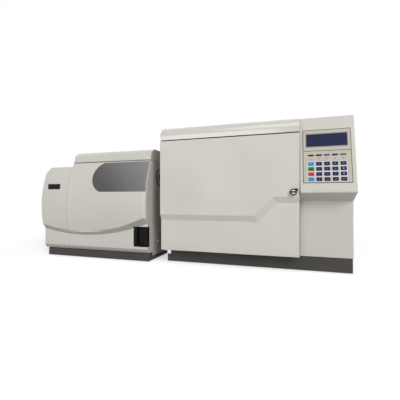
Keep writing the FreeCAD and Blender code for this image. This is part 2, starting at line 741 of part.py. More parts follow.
# Hinge hardware that stays on the cabinet
def cabinet_hinges():
    pinX = gcLeft + S.hingeInset
    pinY = face - S.hingeFront
    reach = S.doorPost / 2
    half = S.bracketWidth / 2
    top_plate = block("doorHingeTop", pinX - half / 2, pinX + half, pinY - half / 2, face + S.doorPost,
                      deckZ, deckZ + S.bracketWall)
    top_pin = rod("doorPinTop", "Z", pinX, pinY, doorTop - reach, deckZ - doorTop + reach, S.hingePin)
    low = S.plinthTop - S.bracketWall
    shelf = block("doorHingeLow", gcLeft + S.plinthInset, pinX + half, pinY - half / 2, face, low, S.plinthTop)
    low_pin = rod("doorPinLow", "Z", pinX, pinY, S.plinthTop, reach, S.hingePin)
    tab = block("doorHingeTab", gcLeft + S.plinthInset, pinX + half, face - S.bracketWall, face,
                low - S.bracketTab, low)
    pieces = [fuse("upperDoorHinge", top_plate, top_pin), fuse("lowerDoorHinge", shelf, low_pin, tab)]
    axisY = face + S.lidDepth - S.lidPinDrop
    axisZ = S.gcHeight - S.lidPinDrop
    wall = face + S.lidDepth + S.lidGap
    for x in (gcLeft + S.lidLugInset, doorRight - S.lidLugInset):
        pin = rod("lidPin", "X", x - S.lidPinReach, axisY, axisZ, S.lidPinReach * 2, S.lidPin)
        ears = []
        for side in lid_ears(x):
            ears.append(block("lidEar", side, side + S.lidEar, axisY - S.lidPin, wall,
                              axisZ - S.lidLug, axisZ + S.lidPin))
        pieces.append(fuse("lidHinge", pin, *ears))
    return group("cabinet_hinges", *pieces)


# Left edges of the two fixed ears beside one lug of the lid
def lid_ears(x):
    return x - S.lidPinReach, x + S.lidLug


# Lid over the injector deck, with a bull nose along its front
def gc_top_cover():
    body = new_body("lidShell")
    wall = S.lidWall
    pad(body, "YZ", gcLeft, doorRight, *lid_profile(NONE, lidLow))
    pocket(body, "YZ", gcLeft + wall, doorRight - wall, *lid_profile(wall, lidLow))
    lugs = []
    axisY = face + S.lidDepth - S.lidPinDrop
    axisZ = S.gcHeight - S.lidPinDrop
    shells = [body]
    for x in (gcLeft + S.lidLugInset, doorRight - S.lidLugInset):
        half = S.lidLug / 2
        shells.append(block("lidLugBlock", x - half, x + half, axisY - S.lidLugHalf, axisY + S.lidLugHalf,
                            axisZ - S.lidLugHalf, S.gcHeight - wall))
        lugs.append(rod("lidLugHole", "X", x - S.lidLug, axisY, axisZ, S.lidLug * 2, S.lidPin + S.fitGap))
        for side in lid_ears(x):
            lugs.append(block("lidNotch", side - S.lidNotch, side + S.lidEar + S.lidNotch,
                              axisY - S.lidPin - S.lidNotch * 2, face + S.lidDepth + S.lidGap, axisZ - S.lidLug,
                              S.gcHeight + S.lidWall))
    return cut("gc_top_cover", fuse("lidWithLugs", *shells), *lugs)


def lid_profile(inset, low):
    front = face - S.lidFront + inset
    top = S.gcHeight - inset
    radius = S.lidRound - inset
    corners = [(front, low), (front, low + S.lidNose), (front + radius, top), (face + S.lidDepth, top),
               (face + S.lidDepth, low)]
    return corners, {1: -(S.lidArc - inset)}


# Oven: an insulated box with an exhaust duct, a fan, its motor and the baffle with the heater
def oven_liner():
    wall = S.linerWall
    wrap = new_body("linerWrap")
    pad(wrap, "XZ", ovenFront, ovenBack,
        rectangle(ovenLeft - wall, ovenRight + wall, S.ovenFloor - wall, ovenTop + wall))
    pocket(wrap, "XZ", ovenFront, ovenBack, rectangle(ovenLeft, ovenRight, S.ovenFloor, ovenTop))
    wall_ports(wrap, wall)
    back = new_body("linerBack")
    pad(back, "XZ", ovenBack, ovenBack + wall,
        rectangle(ovenLeft - wall, ovenRight + wall, S.ovenFloor - wall, ovenTop + wall))
    bore(back, "XZ", ovenBack, ovenBack + wall, fanX, fanZ, S.shaftWay)
    left, right, top, sheet_wall = duct_place()
    pocket(back, "XZ", ovenBack, ovenBack + wall,
           rectangle(left + sheet_wall, right - sheet_wall, ductLow + sheet_wall, top - sheet_wall))
    return group("oven_liner", wrap, back)


def duct_place():
    left = gcLeft + S.ductInset
    return left, left + S.ductWidth, ductLow + S.ductHeight, S.sheetWall


def oven_box(body, wall):
    pad(body, "XZ", ovenFront, ovenBack + wall,
        rectangle(ovenLeft - wall, ovenRight + wall, S.ovenFloor - wall, ovenTop + wall))


# Holes for the injector and the line from the detector
def wall_ports(body, wall):
    bore(body, "XY", ovenTop, ovenTop + wall, injectorX, lineY, S.injectorBody + S.fitGap)
    bore(body, "YZ", ovenLeft - wall, ovenLeft, lineY, S.lineZ, S.lineNeck + S.fitGap)


# Mineral wool jacket round the liner
def oven_insulation():
    body = new_body("woolJacket")
    inner = S.linerWall
    oven_box(body, S.ovenWall)
    pocket(body, "XZ", ovenFront, ovenBack + inner,
           rectangle(ovenLeft - inner, ovenRight + inner, S.ovenFloor - inner, ovenTop + inner))
    wall_ports(body, S.ovenWall)
    bore(body, "XZ", ovenBack, ovenBack + S.ovenWall, fanX, fanZ, S.shaftWay)
    left, right, top, wall = duct_place()
    way = block("woolDuctWay", left, right, ovenBack, gcBack, ductLow, top)
    return cut("oven_insulation", body, way)


def fan_motor():
    back = linerBack
    return turned("fan_motor", "Y", fanX, back, fanZ, [
        (NONE, S.fanShaft + S.fitGap), (NONE, S.motorNeck), (S.ovenWall / 2, S.motorNeck),
        (S.ovenWall / 2, S.motorRadius), (S.motorLength, S.motorRadius), (S.motorLength, S.motorBoss),
        (S.motorLength + S.fanBack, S.motorBoss), (S.motorLength + S.fanBack, S.fanShaft + S.fitGap)])


FAN_BLADES = 10


def oven_fan():
    body = new_body("oven_fan")
    back = ovenBack - S.fanBack
    front = back - S.fanDepth
    shaftEnd = linerBack + S.motorLength
    boss(body, "XZ", back - S.fanWall, back, fanX, fanZ, S.fanRadius)
    boss(body, "XZ", front, back, fanX, fanZ, S.fanHub)
    boss(body, "XZ", front, shaftEnd, fanX, fanZ, S.fanShaft)
    sketch = new_sketch(body, "XZ", back, (fanX, fanZ))
    draw_outline(sketch, rectangle(S.fanBladeIn, S.fanRadius, NONE, S.fanWall))
    blade = pad_sketch(body, sketch, S.fanDepth)
    blades = body.newObject("PartDesign::PolarPattern", "fanBlades")
    blades.Originals = [blade]
    blades.Axis = (sketch, ["N_Axis"])
    blades.Angle = 360
    blades.Occurrences = FAN_BLADES
    body.Tip = blades
    return body


def oven_baffle():
    front = ovenBack - S.baffleBack
    margin = S.baffleMargin
    plate = new_body("bafflePlate")
    pad(plate, "XZ", front, front + S.sheetWall,
        rectangle(ovenLeft + margin, ovenRight - margin, S.ovenFloor + margin, ovenTop - margin))
    bore(plate, "XZ", front, front + S.sheetWall, fanX, fanZ, S.baffleMouth)
    posts = []
    reach = S.heaterRadius * math.sqrt(0.5)
    for side in (-1, 1):
        for level in (-1, 1):
            posts.append(rod("bafflePost", "Y", fanX + reach * side, front + S.sheetWall, fanZ + reach * level,
                             S.baffleBack - S.sheetWall, S.bafflePost))
    coil = ring("heaterCoil", "Y", fanX, front + S.baffleBack / 2, fanZ, S.heaterRadius, S.heaterTube)
    return fuse("oven_baffle", plate, coil, *posts)


# Wound column on its cage
injectorX = gcLeft + S.coilX + S.coilRadius
coilX = gcLeft + S.coilX


def capillary_column():
    front = lineY - S.coilWidth / 2
    outer = rod("coilOuter", "Y", coilX, front, S.coilZ, S.coilWidth, S.coilRadius + S.coilWall / 2)
    inner = rod("coilInner", "Y", coilX, front, S.coilZ, S.coilWidth, S.coilRadius - S.coilWall / 2)
    coil = cut("coilBundle", outer, inner)
    tube = S.leadRadius
    up = rod("leadToInjector", "Z", injectorX, lineY, S.coilZ, injectorNut - S.coilZ, tube)
    left = coilX - S.coilRadius
    rise = rod("leadRise", "Z", left, lineY, S.coilZ, S.lineZ - S.leadBend - S.coilZ, tube)
    bend_box = block("leadBendBox", left - S.leadBend, left + tube * 2, lineY - tube * 2, lineY + tube * 2,
                     S.lineZ - S.leadBend, S.lineZ + tube * 2)
    bend_ring = ring("leadBendRing", "Y", left - S.leadBend, lineY, S.lineZ - S.leadBend, S.leadBend, tube)
    bend = common("leadBend", bend_ring, bend_box)
    tip = ovenLeft + S.leadReach
    run = rod("leadToLine", "X", tip, lineY, S.lineZ, left - S.leadBend - tip, tube)
    return fuse("capillary_column", coil, up, rise, bend, run)


def column_cage():
    front = lineY - S.coilWidth / 2 - S.cageWall
    depth = S.coilWidth + S.cageWall * 2
    radius = S.coilRadius - S.coilWall / 2 - S.fitGap
    drum = cut("cageDrum", rod("cageOuter", "Y", coilX, front, S.coilZ, depth, radius),
               rod("cageInner", "Y", coilX, front, S.coilZ, depth, radius - S.cageWall))
    half = S.cageSpoke / 2
    thin = S.cageWall / 2
    reach = radius - thin
    spokes = [block("cageSpokeFlat", coilX - reach, coilX + reach, lineY - half, lineY + half, S.coilZ - thin,
                    S.coilZ + thin),
              block("cageSpokeUp", coilX - thin, coilX + thin, lineY - half, lineY + half, S.coilZ - reach,
                    S.coilZ + reach)]
    behind = lineY + S.coilWidth / 2 + S.fitGap
    hanger = block("cageHanger", coilX - half, coilX + half, behind, behind + S.cageWall,
                   S.coilZ + radius - S.cageWall, ovenTop)
    return fuse("column_cage", drum, hanger, *spokes)


def injection_port():
    bore_radius = S.leadRadius + S.fitGap
    block_low = ovenTop + S.ovenWall
    block_high = deckZ - S.deckWall
    flange_low = deckZ + S.deckWall
    cap_low = deckZ + S.injectorStep
    cap_high = injectorTop - S.injectorStep
    half = S.injectorBlock / 2
    return turned("injection_port", "Z", injectorX, lineY, NONE, [
        (injectorNut, bore_radius), (injectorNut, S.injectorNeck), (ovenTop, S.injectorNeck), (ovenTop, S.injectorBody),
        (block_low, S.injectorBody), (block_low, half), (block_high, half), (block_high, S.injectorBody),
        (flange_low, S.injectorBody), (flange_low, S.injectorFlange), (cap_low, S.injectorFlange),
        (cap_low, S.injectorCap), (cap_high, S.injectorCap), (cap_high, S.injectorSeptum),
        (injectorTop, S.injectorSeptum), (injectorTop, bore_radius)])


# Detector cabinet. The front is bowed in side view: an arc about a centre far behind the face.
def bow(z, inset=None):
    radius = S.bowRadius - inset if inset is not None else S.bowRadius
    rise = z - S.bowZ
    return msFace - S.bowReach + S.bowRadius - root(radius * radius - rise * rise)


def bow_profile(inset, low, high, back):
    # Below the lowest point of the shelf's curve the outline drops straight down
    radius = S.bowRadius - inset
    lip = bow(S.smileZ, inset)
    corners = [(back, low), (back, high), (bow(high, inset), high), (lip, S.smileZ), (lip, low)]
    return corners, {2: radius}


def window_profile(inset, back):
    low = S.windowLow - S.shelfRise
    corners = [(back, low), (back, S.seamZ), (bow(S.seamZ, inset), S.seamZ), (bow(low, inset), low)]
    return corners, {2: S.bowRadius - inset}


def smile(x, rise):
    across = x - msLeft - S.smileX
    return S.smileZ + rise + S.smileRadius - root(S.smileRadius * S.smileRadius - across * across)


# The lower panel stands back from the bow, under a sloping shelf that runs along a long shallow curve
def cut_shelf(body, left, right):
    margin = S.shelfRise
    plane = msFace - S.lowerReach
    front = msFace - S.bowReach - margin
    low = S.msPlinthTop - margin * 2
    stations = []
    steep = S.shelfRise / S.shelfDepth
    for at, rise in ((plane, -S.shelfRise), (front, (plane - front) * steep - S.shelfRise)):
        x0 = left - margin
        x1 = right + margin
        corners = [(x0, low), (x1, low), (x1, smile(x1, rise)), (x0, smile(x0, rise))]
        stations.append((at, corners, {2: -S.smileRadius}))
    return loft(body, "SubtractiveLoft", "XZ", stations)


def stud_places():
    left = coverLeft + S.studInset
    right = msRight - S.studInset
    low = S.msPlinthTop + S.studInset
    high = S.seamZ - S.studInset
    return [(left, low), (right, low), (left, high), (right, high)]


# The long upright edges of the cover's front at its right-hand side
def on_corner(edge, x, back):
    box = edge.BoundBox
    long = box.XLength < FLAT and box.ZLength > S.cornerRound.value * 4
    return long and abs(box.XMin - x.value) < NEAR and box.YMin < back.value - 1


def ms_front_cover():
    body = new_body("msCoverShell")
    wall = S.mouldWall
    back = msFace + S.coverBack
    high = S.seamZ
    low = S.coverDrop
    pad(body, "YZ", coverLeft, msRight, *bow_profile(NONE, low, high, back))
    front = msFace - S.bowReach
    doc.recompute()
    fillet(body, S.cornerRound, lambda edge: on_corner(edge, msRight, back))
    cut_shelf(body, coverLeft, msRight)
    tuck(body, coverLeft, msRight)
    plane = msFace - S.lowerReach + wall
    upper = S.smileZ + S.coverStep
    inner = bow(upper, wall)
    pocket(body, "YZ", coverLeft + wall, msRight - S.cornerRound,
           [(back, low + wall), (back, high - wall), (bow(high - wall, wall), high - wall), (inner, upper),
            (plane, upper - S.shelfRise), (plane, low + wall + S.tuckRise), (plane + S.tuckBack, low + wall)],
           {2: S.bowRadius - wall})
    recess = window_solid("windowRecess", S.windowSet + S.windowWall + S.fitGap, -S.bowReach, S.fitGap)
    grip_x = msRight - S.gripWidth
    grip_cut = block("gripRecess", grip_x - S.fitGap, msRight + wall, front, plane - S.fitGap + S.gripDeep,
                     S.gripLow - S.fitGap, S.gripHigh + S.fitGap)
    studs = [rod("coverStud", "Y", x, back - wall, z, S.bulkheadBack - S.coverBack + S.studTip, S.coverStud)
             for x, z in stud_places()]
    shell = cut("msCoverCut", body, recess, grip_cut)
    ribs = []
    for index, (x, z) in enumerate(stud_places()):
        bottom, top = (low, z + S.coverStud) if index < 2 else (z - S.coverStud, high)
        ribs.append(block("coverRib", x - S.coverStud, x + S.coverStud, back - S.ribDepth, back, bottom, top))
    return fuse("ms_front_cover", shell, *studs, *ribs)


# Round tuck-in along the bottom of the lower panel
def tuck(body, left, right):
    plane = msFace - S.lowerReach
    margin = S.shelfRise
    low = S.coverDrop
    end = plane + S.tuckBack
    corners = [(plane - margin, low - margin), (end, low - margin), (end, low), (plane, low + S.tuckRise),
               (plane - margin, low + S.tuckRise)]
    return pocket(body, "YZ", left - margin, right + margin, corners, {2: -S.tuckRound})


def window_outline(gap):
    left = msLeft + S.windowTurn - gap
    right = msRight - S.windowEdge + gap
    low = S.windowLow - gap
    high = S.windowHigh + gap
    return [(left, low), (right, low), (right, high), (left, high)], {3: S.windowEnd + gap}


def bowed_slab(name, inset):
    body = new_body(name)
    back = msFace + S.coverBack
    pad(body, "YZ", coverLeft, msRight - inset, *window_profile(inset, back))
    fillet(body, S.cornerRound - inset, lambda edge: on_corner(edge, msRight - inset, back))
    return body


# The smoked window follows the bow and wraps the right corner. Inner and outer are measured in from the bow.
def window_solid(name, inner, outer, gap):
    prism = new_body(name + "Prism")
    pad(prism, "XZ", msFace - S.bowReach * 2, msFace + S.podNose, *window_outline(gap))
    if outer is None or outer.value < 0:
        shell = prism
    else:
        shell = common(name + "Face", prism, bowed_slab(name + "Outer", outer))
    return cut(name, shell, bowed_slab(name + "Inner", inner))


def ms_window():
    return window_solid("ms_window", S.windowSet + S.windowWall, S.windowSet, NONE)


def ms_grip():
    body = new_body("ms_grip")
    left = msRight - S.gripWidth
    right = msRight - S.fitGap
    front = msFace - S.lowerReach - S.gripProud
    back = msFace - S.lowerReach + S.mouldWall - S.fitGap * 2 + S.gripDeep
    bite = S.gripCut
    low = S.gripLow
    high = S.gripHigh
    pad(body, "XZ", front, back, [(left + bite, low), (right, low), (right, high), (left + bite, high),
                                  (left, high - bite), (left, low + bite)])
    wall = S.gripWall
    pocket(body, "XZ", front, back - wall,
           rectangle(left + bite + wall, right - S.gripRail, low + wall, high - wall))
    return body


def pod_shell():
    body = new_body("podMould")
    wall = S.mouldWall
    right = seamX
    top = S.podTop
    back = msBack - S.sheetWall
    nose = msFace + S.podNose
    low = S.coverDrop

    def profile(inset):
        crease = S.creaseZ - inset / 2
        lip = bow(S.smileZ, inset)
        return [(back, low), (back, top - inset), (nose + inset / 2, top - inset), (bow(crease, inset), crease),
                (lip, S.smileZ), (lip, low)]

    pad(body, "YZ", msLeft, right, profile(NONE), {3: S.bowRadius})
    cut_shelf(body, msLeft, right)
    tuck(body, msLeft, right)
    plane = msFace - S.lowerReach + wall
    upper = S.smileZ + S.podStep
    pocket(body, "YZ", msLeft + wall, right - wall,
           [(back, low + wall), (back, top - wall), (nose + wall / 2, top - wall),
            (bow(S.creaseZ - wall / 2, wall), S.creaseZ - wall / 2), (bow(upper, wall), upper),
            (plane, upper - S.shelfRise), (plane, low + wall + S.tuckRise), (plane + S.tuckBack, low + wall)],
           {3: S.bowRadius - wall})
    x = msLeft + S.switchX
    front = msFace - S.bowReach * 2
    half = S.switchWidth / 2 + S.fitGap
    high = S.switchHeight / 2 + S.fitGap
    rim = S.bezelRim
    hole = block("switchHole", x - half + rim, x + half - rim, front, msFace + S.switchDeep, S.switchZ - high + rim,
                 S.switchZ + high - rim)
    seat = block("switchSeat", x - half, x + half, front, switch_frame() - rim, S.switchZ - high, S.switchZ + high)
    return cut("pod_shell", body, hole, seat)


def switch_frame():
    # The bezel lies on the tangent of the bow at the switch's height
    return bow(S.switchZ)


def rocker_centre(side):
    return msLeft + S.switchX + (S.rockerWidth + S.rockerGap) / 2 * side


def switch_bezel():
    x = msLeft + S.switchX
    y = switch_frame()
    rim = S.bezelRim
    half = S.switchWidth / 2
    high = S.switchHeight / 2
    frame = block("bezelRim", x - half, x + half, y - S.bezelFront, y - rim, S.switchZ - high, S.switchZ + high)
    box = block("bezelBox", x - half + rim, x + half - rim, y - rim, y + S.switchDeep, S.switchZ - high + rim,
                S.switchZ + high - rim)
    wells = []
    for side in (-1, 1):
        middle = rocker_centre(side)
        wide = S.rockerWidth / 2 + S.fitGap
        tall = S.rockerHeight / 2 + S.fitGap
        wells.append(block("rockerWell", middle - wide, middle + wide, y - S.bezelFront - rim,
                           y + S.switchDeep - rim, S.switchZ - tall, S.switchZ + tall))
        reach = wide + S.rockerPinReach
        wells.append(rod("rockerPinHole", "X", middle - reach, y, S.switchZ, reach * 2, S.rockerPin + S.fitGap / 2))
    return cut("switch_bezel", fuse("bezelBody", frame, box), *wells)


def power_rocker(index, side):
    x = rocker_centre(side)
    y = switch_frame()
    body = new_body("rockerBody%d" % index)
    half = S.rockerHeight / 2 - S.rockerEnd
    foot = S.rockerFoot / 2
    front = y - S.bezelFront
    pad(body, "YZ", x - S.rockerWidth / 2, x + S.rockerWidth / 2,
        [(y + S.rockerPivot, S.switchZ - foot), (y + S.rockerPivot, S.switchZ + foot),
         (front - S.rockerHigh, S.switchZ + half), (front, S.switchZ), (front - S.rockerLow, S.switchZ - half)])
    reach = S.rockerWidth / 2 + S.rockerPinReach
    pin = rod("rockerPinRod", "X", x - reach, y, S.switchZ, reach * 2, S.rockerPin)
    return fuse("power_rocker_%d" % index, body, pin)


def ms_top_cover():
    body = new_body("msTopShell")
    wall = S.mouldWall
    back = msBack - S.sheetWall
    low = S.seamZ + S.seamGap

    def profile(inset):
        corners = [(back, low), (back, S.msTop - inset), (msFace + S.noseFlat, S.msTop - inset),
                   (msFace + S.noseBack + inset, S.noseZ), (bow(low, inset), low)]
        return corners, {2: S.noseRound - inset}

    pad(body, "YZ", seamX, msRight, *profile(NONE))
    pocket(body, "YZ", seamX + wall, msRight - wall, *profile(wall))
    cheek = block("msTopCheek", seamX, seamX + wall, msFace + S.coverBack + S.podGap, back, S.podTop, low)
    return fuse("ms_top_cover", body, cheek)


SIDE_SLOTS = 2


# One folded sheet: the right side and the back
def ms_side_panel():
    side = new_body("msSideSheet")
    left = msRight - S.sheetWall
    front = msFace + S.coverBack + S.podGap
    top = S.seamZ + S.seamGap
    pad(side, "YZ", left, msRight, rectangle(front, msBack - S.sheetWall, S.sideDrop, top))
    bore(side, "YZ", left, msRight, lineY, S.lineZ, S.lineRadius + S.fitGap)
    slotY = front + S.sideSlotBack
    for step in range(SIDE_SLOTS):
        low = S.sideSlotLow + S.sideSlotPitch * step
        pocket(side, "YZ", left, msRight, rectangle(slotY, slotY + S.sideSlotWide, low, low + S.sideSlotHigh))
    rear = new_body("msRearSheet")
    high = S.msTop
    pad(rear, "XZ", msBack - S.sheetWall, msBack,
        [(msLeft, S.msPlinthTop), (msRight, S.msPlinthTop), (msRight, high), (seamX, high), (seamX, S.podTop),
         (msLeft, S.podTop)])
    return fuse("ms_side_panel", side, rear)


def transfer_port_ring():
    inner = S.lineRadius + S.fitGap
    return turned("transfer_port_ring", "X", msRight, lineY, S.lineZ, [
        (NONE, inner), (NONE, S.ringRadius), (S.ringStep, S.ringRadius), (S.ringDeep, S.ringFace),
        (S.ringDeep, S.ringMouth), (S.ringSeat, S.ringFloor), (S.ringSeat, inner)])


def transfer_line():
    end = S.unitGap + S.lineEntry + S.ovenInset
    shoulder = end - S.ovenWall - S.lidGap
    tip = end + S.leadReach
    return turned("transfer_line", "X", msRight - S.lineEntry, lineY, S.lineZ, [
        (NONE, NONE), (NONE, S.lineRadius), (shoulder, S.lineRadius), (shoulder, S.lineNeck), (end, S.lineNeck),
        (end + S.lineTip, S.lineTip), (tip, S.lineTip), (tip, NONE)])


# Vacuum manifold on its turbo pump, and the boards
def vacuum_manifold():
    left = msLeft + S.manifoldLeft
    right = msRight - S.lineEntry
    y0 = lineY - S.manifoldWidth / 2
    y1 = lineY + S.manifoldWidth / 2
    z0 = S.lineZ - S.manifoldHeight / 2
    z1 = S.lineZ + S.manifoldHeight / 2
    body = new_body("manifoldBlock")
    front = msFace + S.bulkheadBack + S.trayWall + S.fitGap
    pad(body, "XZ", front, y1, rectangle(left, right, z0, z1))
    fillet(body, S.manifoldEdge, lambda edge: edge.BoundBox.YLength < FLAT and edge.BoundBox.ZLength < FLAT)
    plate = S.manifoldPlate
    flange = block("manifoldFlange", left - plate, left, front + plate, y1 - plate, z0 + plate, z1 - plate)
    return fuse("vacuum_manifold", body, flange)


def turbo_pump():
    top = S.lineZ - S.manifoldHeight / 2
    x = msLeft + S.manifoldLeft + S.manifoldLength / 3
    base = top - S.pumpHeight
    foot = S.msFoot + S.trayWall
    collar = top - S.pumpCollar
    flange = top - S.pumpFlange
    return turned("turbo_pump", "Z", x, lineY + S.coverBack, NONE, [
        (foot, NONE), (foot, S.pumpFoot), (base, S.pumpFoot), (base, S.pumpBody), (collar, S.pumpBody),
        (collar, S.pumpNeck), (flange, S.pumpNeck), (flange, S.pumpRadius), (top, S.pumpRadius), (top, NONE)])


def board(name, x, front, back, low, high):
    plate = block(name + "Board", x - S.boardWall, x, front, back, low, high)
    row = front - S.boardMargin + S.partsFront
    parts = block(name + "Parts", x - S.boardWall - S.partsRise, x - S.boardWall, row, row + S.partsLong, S.partsLow,
                  S.partsHigh)
    return fuse(name + "BoardSet", plate, parts)


def control_boards():
    gc = board("gc", gcRight - S.boardInset, face + S.boardMargin, gcBack - S.boardMargin, S.gcFoot + S.trayWall,
               S.gcHeight - S.boardMargin)
    ms = board("ms", seamX - S.mouldDepth, msFace + S.boardFront, msBack - S.boardMargin, S.coverDrop + S.mouldWall,
               S.podTop - S.boardMargin)
    return group("control_boards", gc, ms)


# Back of both cabinets: appliance inlets, cooling grilles and gas bulkhead fittings
def power_inlet(x, back):
    half = S.inletWidth / 2
    high = S.inletHeight / 2
    wall = S.mouldWall
    low = S.rearRow - high
    top = S.rearRow + high
    shell = block("inletShell", x - half, x + half, back, back + S.inletDeep, low, top)
    hollow = block("inletHollow", x - half + wall, x + half - wall, back + wall, back + S.inletDeep, low + wall,
                   top - wall)
    return cut("powerInlet", shell, hollow)


GRILLE_RINGS = 3


def fan_grille(x, z, back):
    disc = rod("grilleOuter", "Y", x, back, z, S.mouldWall, S.grilleRadius)
    slots = []
    for step in range(GRILLE_RINGS):
        wide = S.grilleRadius - S.grilleRim - S.grillePitch * step
        slots.append(cut("grilleRing", rod("grilleWide", "Y", x, back, z, S.mouldWall, wide),
                         rod("grilleNarrow", "Y", x, back, z, S.mouldWall, wide - S.grilleSlot)))
    bar = S.mouldWall
    reach = S.grilleRadius - S.grilleRim / 2
    across = block("grilleBar", x - reach, x + reach, back, back + bar, z - bar, z + bar)
    upright_bar = block("grilleBarUp", x - bar, x + bar, back, back + bar, z - reach, z + reach)
    return fuse("fanGrille", cut("grilleOpen", disc, *slots), across, upright_bar)


GAS_INLETS = 3


def gas_inlet(step):
    x = gcLeft + S.gasInset + S.gasPitch * step
    nut = rod("gasNut", "Y", x, gcBack, S.gasRow, S.gasNut, S.gasNutRadius)
    stem = rod("gasStem", "Y", x, gcBack + S.gasNut, S.gasRow, S.rearReach - S.gasNut, S.gasStem)
    return fuse("gasInlet", nut, stem)


def outlet_duct():
    left, right, top, wall = duct_place()
    front = ovenBack + S.linerWall
    duct = block("ductOuter", left, right, front, gcBack - S.sheetWall, ductLow, top)
    hollow = block("ductInner", left + wall, right - wall, front, gcBack, ductLow + wall, top - wall)
    return cut("outletDuct", duct, hollow)


def foreline():
    x = msRight - S.foreInset
    outer = rod("foreOuter", "Y", x, msBack, S.rearRow, S.rearReach, S.foreRadius)
    flange = rod("foreFlange", "Y", x, msBack, S.rearRow, S.mouldWall, S.foreFlange)
    inner = rod("foreBore", "Y", x, msBack, S.rearRow, S.rearReach, S.foreBore)
    return cut("forelinePort", fuse("foreBody", outer, flange), inner)


def rear_fittings():
    pieces = [power_inlet(columnLeft + S.inletInset, gcBack), power_inlet(msLeft + S.inletInset, msBack),
              fan_grille(columnLeft + S.inletInset, S.lineZ, gcBack), fan_grille(msLeft + S.grilleInset, S.bowZ, msBack)]
    pieces += [gas_inlet(step) for step in range(GAS_INLETS)]
    return group("rear_fittings", *pieces, outlet_duct(), foreline())


def oven_vent_flap():
    left = gcLeft + S.ductInset - S.flapInset
    right = gcLeft + S.ductInset + S.ductWidth + S.flapInset
    front = gcBack + S.fitGap
    top = ductLow + S.ductHeight + S.flapInset
    body = block("flapLeaf", left, right, front, front + S.flapWall, ductLow - S.flapInset, top)
    barrel = rod("flapBarrel", "X", left, front + S.flapPin, top, right - left, S.flapPin)
    return fuse("oven_vent_flap", body, barrel)


wells = [key_wells(), display_well(), lamp_wells()]
built = [
    rubber_feet(), gc_plinth(), ms_plinth(), gc_left_panel(), gc_right_panel(), gc_rear_panel(), gc_front_frame(),
    console_housing(wells), console_overlay(wells), display_window(), status_lamps(),
    oven_door(), oven_door_plug(), door_latch_knob(), cabinet_hinges(), gc_top_cover(),
    oven_liner(), oven_insulation(), fan_motor(), oven_fan(), oven_baffle(), capillary_column(), column_cage(),
    injection_port(), transfer_line(), transfer_port_ring(), oven_vent_flap(),
    ms_front_cover(), ms_window(), ms_grip(), pod_shell(), switch_bezel(), power_rocker(1, -1),
    power_rocker(2, 1), ms_top_cover(), ms_side_panel(), vacuum_manifold(), turbo_pump(), control_boards(),
    rear_fittings(),
]
built += [key(row, column) for row in range(KEY_ROWS) for column in range(KEY_COLUMNS)]
doc.recompute()

failed = [thing.Label for thing in doc.Objects if "Invalid" in thing.State or "Error" in thing.State]
if failed:
    raise RuntimeError("These did not build: %s" % ", ".join(failed))
for thing in built:
    shape = thing.Shape
    if shape.isNull() or not shape.isValid() or not shape.Solids:
        raise RuntimeError("%s has no sound shape" % thing.Label)
for thing in built:
    thing.Shape.exportStep(os.path.join("parts", thing.Label + ".step"))
print(len(built), "sub-parts written")
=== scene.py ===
import bpy
import math
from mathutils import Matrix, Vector


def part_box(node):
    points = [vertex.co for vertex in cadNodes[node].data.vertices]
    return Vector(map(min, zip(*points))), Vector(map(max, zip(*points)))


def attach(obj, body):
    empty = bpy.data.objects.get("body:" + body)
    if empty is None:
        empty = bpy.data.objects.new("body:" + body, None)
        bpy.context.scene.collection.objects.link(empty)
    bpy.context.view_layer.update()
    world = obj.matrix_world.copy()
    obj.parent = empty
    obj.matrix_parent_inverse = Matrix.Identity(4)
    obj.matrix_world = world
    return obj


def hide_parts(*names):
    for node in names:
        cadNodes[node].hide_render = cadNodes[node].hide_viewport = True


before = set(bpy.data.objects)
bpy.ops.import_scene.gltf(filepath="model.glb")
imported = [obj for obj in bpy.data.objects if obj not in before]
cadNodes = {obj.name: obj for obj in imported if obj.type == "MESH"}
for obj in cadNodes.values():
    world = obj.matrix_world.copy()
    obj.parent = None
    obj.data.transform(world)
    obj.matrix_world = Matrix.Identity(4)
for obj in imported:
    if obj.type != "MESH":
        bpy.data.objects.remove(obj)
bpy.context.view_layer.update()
# the same place, a short and a long edge, and a face square to an axis
hair, shortEdge, longEdge, squareOn = 0.0001, 0.001, 0.1, 0.9
keyRows, keyColumns = 4, 5
print("frame loaded:", len(cadNodes), "nodes")


# selecting and shaping
def wake(piece):
    # only this piece is selected
    if bpy.context.object and bpy.context.object.mode != "OBJECT":
        bpy.ops.object.mode_set(mode="OBJECT")
    bpy.ops.object.select_all(action="DESELECT")
    piece.select_set(True)
    bpy.context.view_layer.objects.active = piece


def pick(piece, kind, test):
    # kind is VERT, EDGE or FACE; test gets the middle, and the direction or normal
    wake(piece)
    bpy.ops.object.mode_set(mode="EDIT")
    bpy.ops.mesh.select_mode(type=kind)
    bpy.ops.mesh.select_all(action="DESELECT")
    bpy.ops.object.mode_set(mode="OBJECT")
    mesh = piece.data
    if kind == "FACE":
        for face in mesh.polygons:
            face.select = test(face.center, face.normal)
    elif kind == "EDGE":
        for edge in mesh.edges:
            a, b = (mesh.vertices[i].co for i in edge.vertices)
            edge.select = test((a + b) / 2, b - a)
    else:
        for vert in mesh.vertices:
            vert.select = test(vert.co, None)
    bpy.ops.object.mode_set(mode="EDIT")


def done():
    bpy.ops.object.mode_set(mode="OBJECT")


def everything(place, none):
    return True


def facesFront(middle, normal):
    return normal.y < -squareOn


def shift(x, y, z):
    bpy.ops.transform.translate(value=(x, y, z))


def settle():
    # place, turn and size go into the mesh
    bpy.ops.object.transform_apply(location=True, rotation=True, scale=True)


def startBox(name, low, high):
    # a cube at its size and place, with its place in its mesh
    bpy.ops.object.select_all(action="DESELECT")
    low, high = Vector(low), Vector(high)
    bpy.ops.mesh.primitive_cube_add(size=1, location=(low + high) / 2, scale=high - low)
    piece = bpy.context.object
    piece.name = name
    settle()
    return piece


